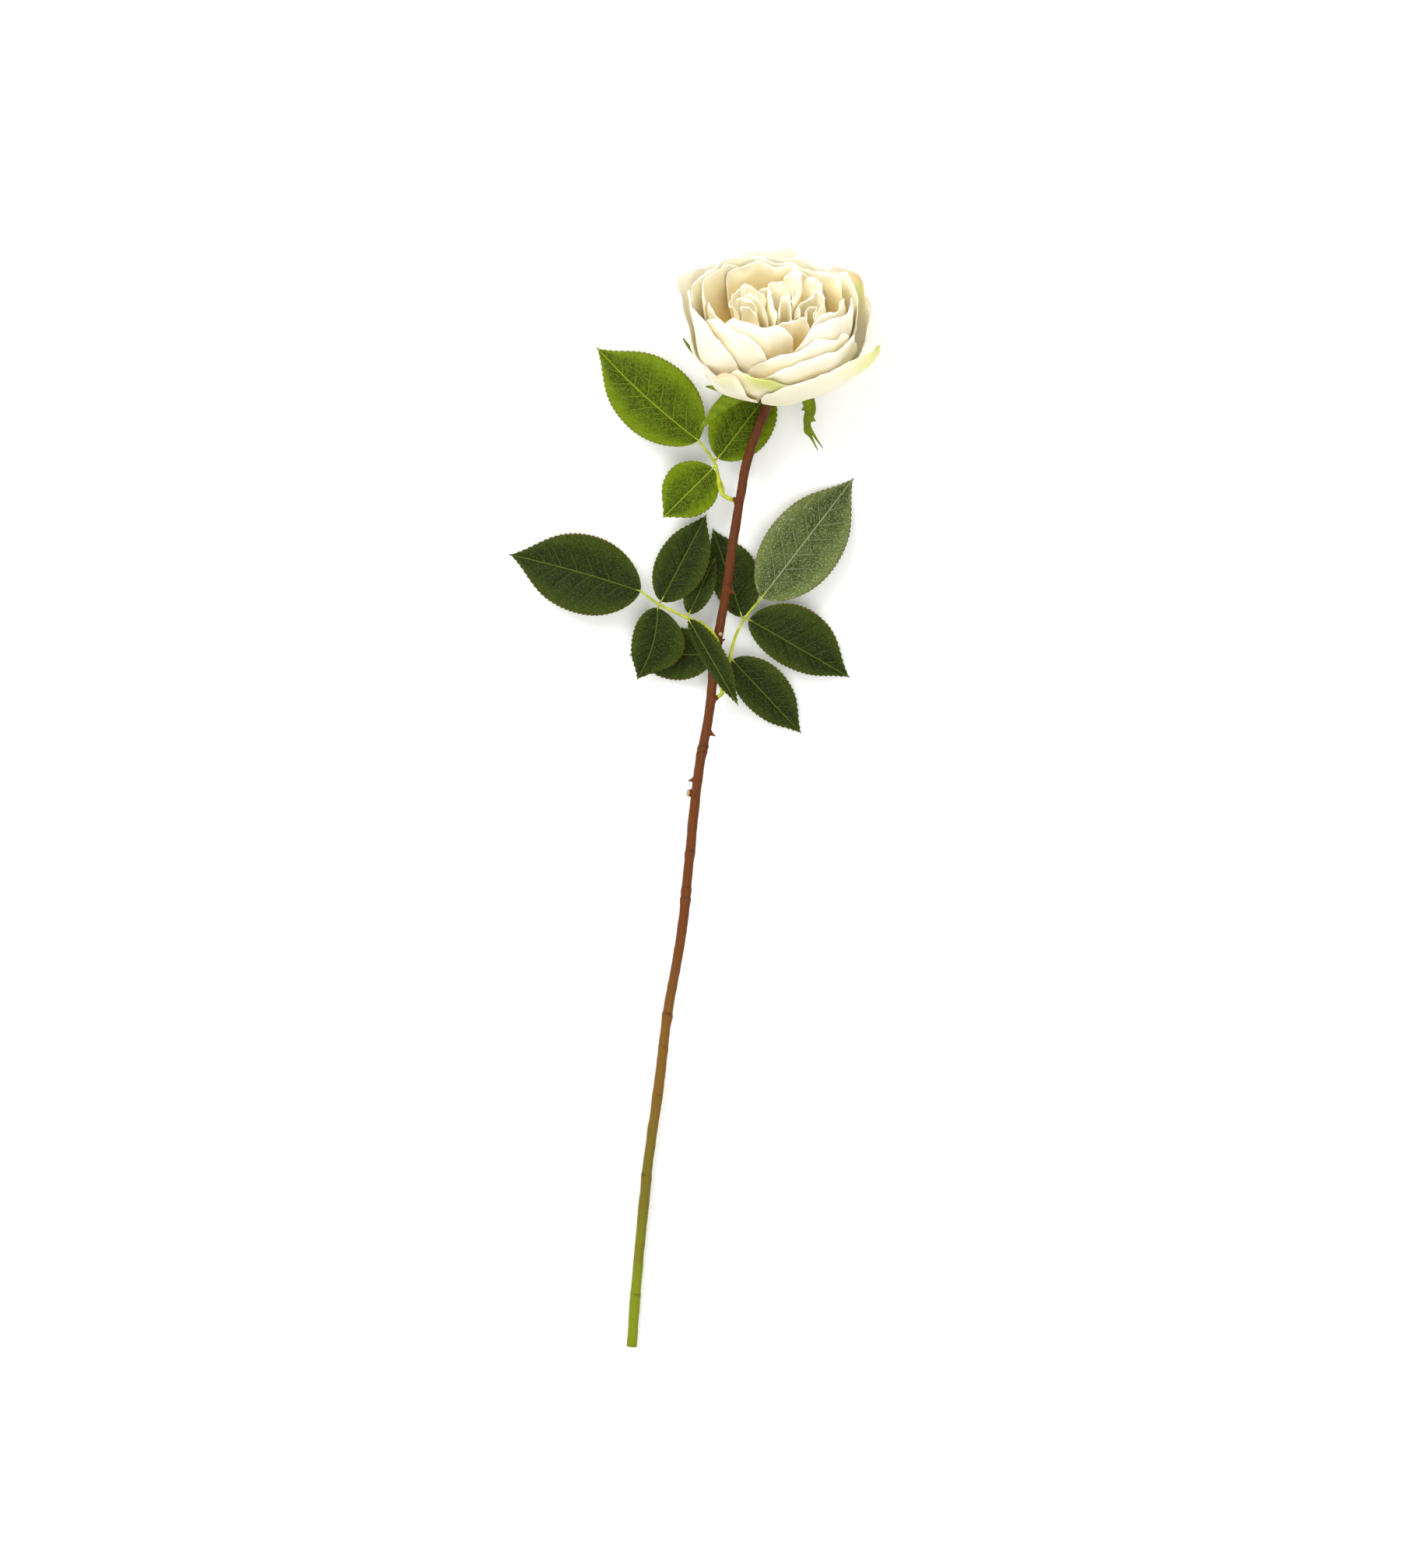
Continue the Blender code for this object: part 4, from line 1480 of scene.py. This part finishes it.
@dataclass(frozen=True)
class Studio:
    """A pale floor, soft light from the upper left, and a camera that looks down."""

    view_width: float = 802.6
    view_centre: tuple[float, float] = (7.9, 8.6)
    camera_height: float = 4.0
    sensor: float = 36.0

    def add_camera(self) -> None:
        """Add the camera."""
        lens = bpy.data.cameras.new("camera")
        lens.sensor_fit = "HORIZONTAL"
        lens.sensor_width = self.sensor
        lens.lens = self.sensor * self.camera_height / (self.view_width * MM)
        lens.clip_end = 50.0
        camera = bpy.data.objects.new("camera", lens)
        camera.location = (self.view_centre[0] * MM, self.view_centre[1] * MM, self.camera_height)
        bpy.context.scene.collection.objects.link(camera)
        bpy.context.scene.camera = camera

    def add_floor(self) -> None:
        """Add the pale floor."""
        body = bmesh.new()
        bmesh.ops.create_grid(body, x_segments=2, y_segments=2, size=4.0)
        mesh = bpy.data.meshes.new("floor")
        body.to_mesh(mesh)
        body.free()
        floor = bpy.data.objects.new("floor", mesh)
        material, _, skin = new_material("matt_white_board")
        skin.inputs["Base Color"].default_value = linear("F4F4F2")
        skin.inputs["Roughness"].default_value = 0.9
        mesh.materials.append(material)
        bpy.context.scene.collection.objects.link(floor)

    def add_light(self, name: str, place: tuple[float, float, float], size: float, power: float) -> None:
        """Add one soft light that faces the rose.

        Args:
            name: The light's name.
            place: Where it hangs, in metres.
            size: The width of its square panel, in metres.
            power: Its power in watts.
        """
        panel = bpy.data.lights.new(name, "AREA")
        panel.shape = "SQUARE"
        panel.size = size
        panel.energy = power
        lamp = bpy.data.objects.new(name, panel)
        lamp.location = place
        aim = Vector((0.0, 0.15, 0.0)) - Vector(place)
        lamp.rotation_euler = aim.to_track_quat("-Z", "Y").to_euler()
        bpy.context.scene.collection.objects.link(lamp)

    def add(self) -> None:
        """Add the whole studio."""
        bpy.context.scene.view_settings.view_transform = "Standard"
        self.add_camera()
        self.add_floor()
        self.add_light("key_panel", (-1.3, 1.7, 1.8), 1.5, 46.0)
        self.add_light("fill_panel", (0.3, -0.8, 2.4), 1.6, 26.0)
        world = bpy.data.worlds.new("studio")
        world.use_nodes = True
        sky = world.node_tree.nodes["Background"]
        sky.inputs["Color"].default_value = linear("FFFFFF")
        sky.inputs["Strength"].default_value = 0.92
        bpy.context.scene.world = world


# ------------------------------------------------------------------------- main


def main() -> None:
    """Build the rose on its frame."""
    logging.basicConfig(level=logging.INFO, format="%(name)s: %(message)s")
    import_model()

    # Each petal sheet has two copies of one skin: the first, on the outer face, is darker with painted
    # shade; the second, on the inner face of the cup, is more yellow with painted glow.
    petals = {
        Slot.OUTER_PETAL: [
            PetalFinish("outer_rose_petal_back", skin="F5EACA", root="EBD48A", warmth=0.8).material(),
            PetalFinish("outer_rose_petal_front", skin="FDF3D6", root="FFD862", warmth=0.9).material(),
        ],
        Slot.PETAL: [
            PetalFinish("rose_petal_back", skin="F8EED0", root="F6DC8C", warmth=0.7).material(),
            PetalFinish("rose_petal_front", skin="FFF4C6", root="FFD456", warmth=0.95).material(),
        ],
    }
    nest = PetalFinish("folded_rose_petal", skin="FFF6D2", root="FFD25E", warmth=0.85)
    mature = LeafFinish(
        "mature_rose_leaf", Slot.LEAF, "151C03", "1D2804", "303D06", "4E5C18", "5C6826", 0.4,
    )
    young = LeafFinish(
        "young_rose_leaf", Slot.LEAF_YOUNG, "293800", "415500", "667B00", "858F1C", "8B9724", 0.4,
    )
    pale = LeafFinish(
        "pale_rose_leaf", Slot.LEAF, "303816", "4A5526", "5E6A34", "889068", "9CA47A", 0.6,
    )
    under = LeafFinish(
        "leaf_underside", Slot.LEAF, "5C6F3A", "768850", "7F9058", "93A06C", "A0AA76", 0.25, 0.7,
    )
    stalk = StalkFinish("leaf_stalk_skin", Slot.LEAF_STALK, "B2B83A", "8E9A26")
    sepal = StalkFinish("sepal_skin", Slot.SEPAL, "6C7E0C", "56680A")
    bark = BarkFinish()

    bloom = Bloom(Vector((41.0, 234.8, 30.15)))
    bloom.add_cup(petals)
    bloom.add_nest(nest.material())
    sepal_skin = sepal.material()
    bloom.add_receptacle(sepal_skin)

    blades = {
        "leaflet_1": (young, young.material()),
        "leaflet_2": (mature, mature.material()),
        "leaflet_3a": (pale, pale.material()),
    }
    blades["leaflet_3"] = blades["leaflet_2"]
    underside = under.material()
    stalk_skin = stalk.material()
    for leaf in LEAVES:
        leaf.add_stalk(stalk, stalk_skin)
        for leaflet in leaf.leaflets:
            finish, skin = blades.get(leaflet.name, blades[leaflet.name[:-1]])
            leaflet.add(finish, [skin, underside])

    Stem().add(bloom, bark, [bark.material(), CutWoodFinish().material()])
    for sepal_leaf in SEPALS:
        if isinstance(sepal_leaf, ClingingSepal):
            sepal_leaf.add(bloom, sepal, sepal_skin)
        else:
            sepal_leaf.add(sepal, sepal_skin)

    Studio().add()


if __name__ == "__main__":
    main()
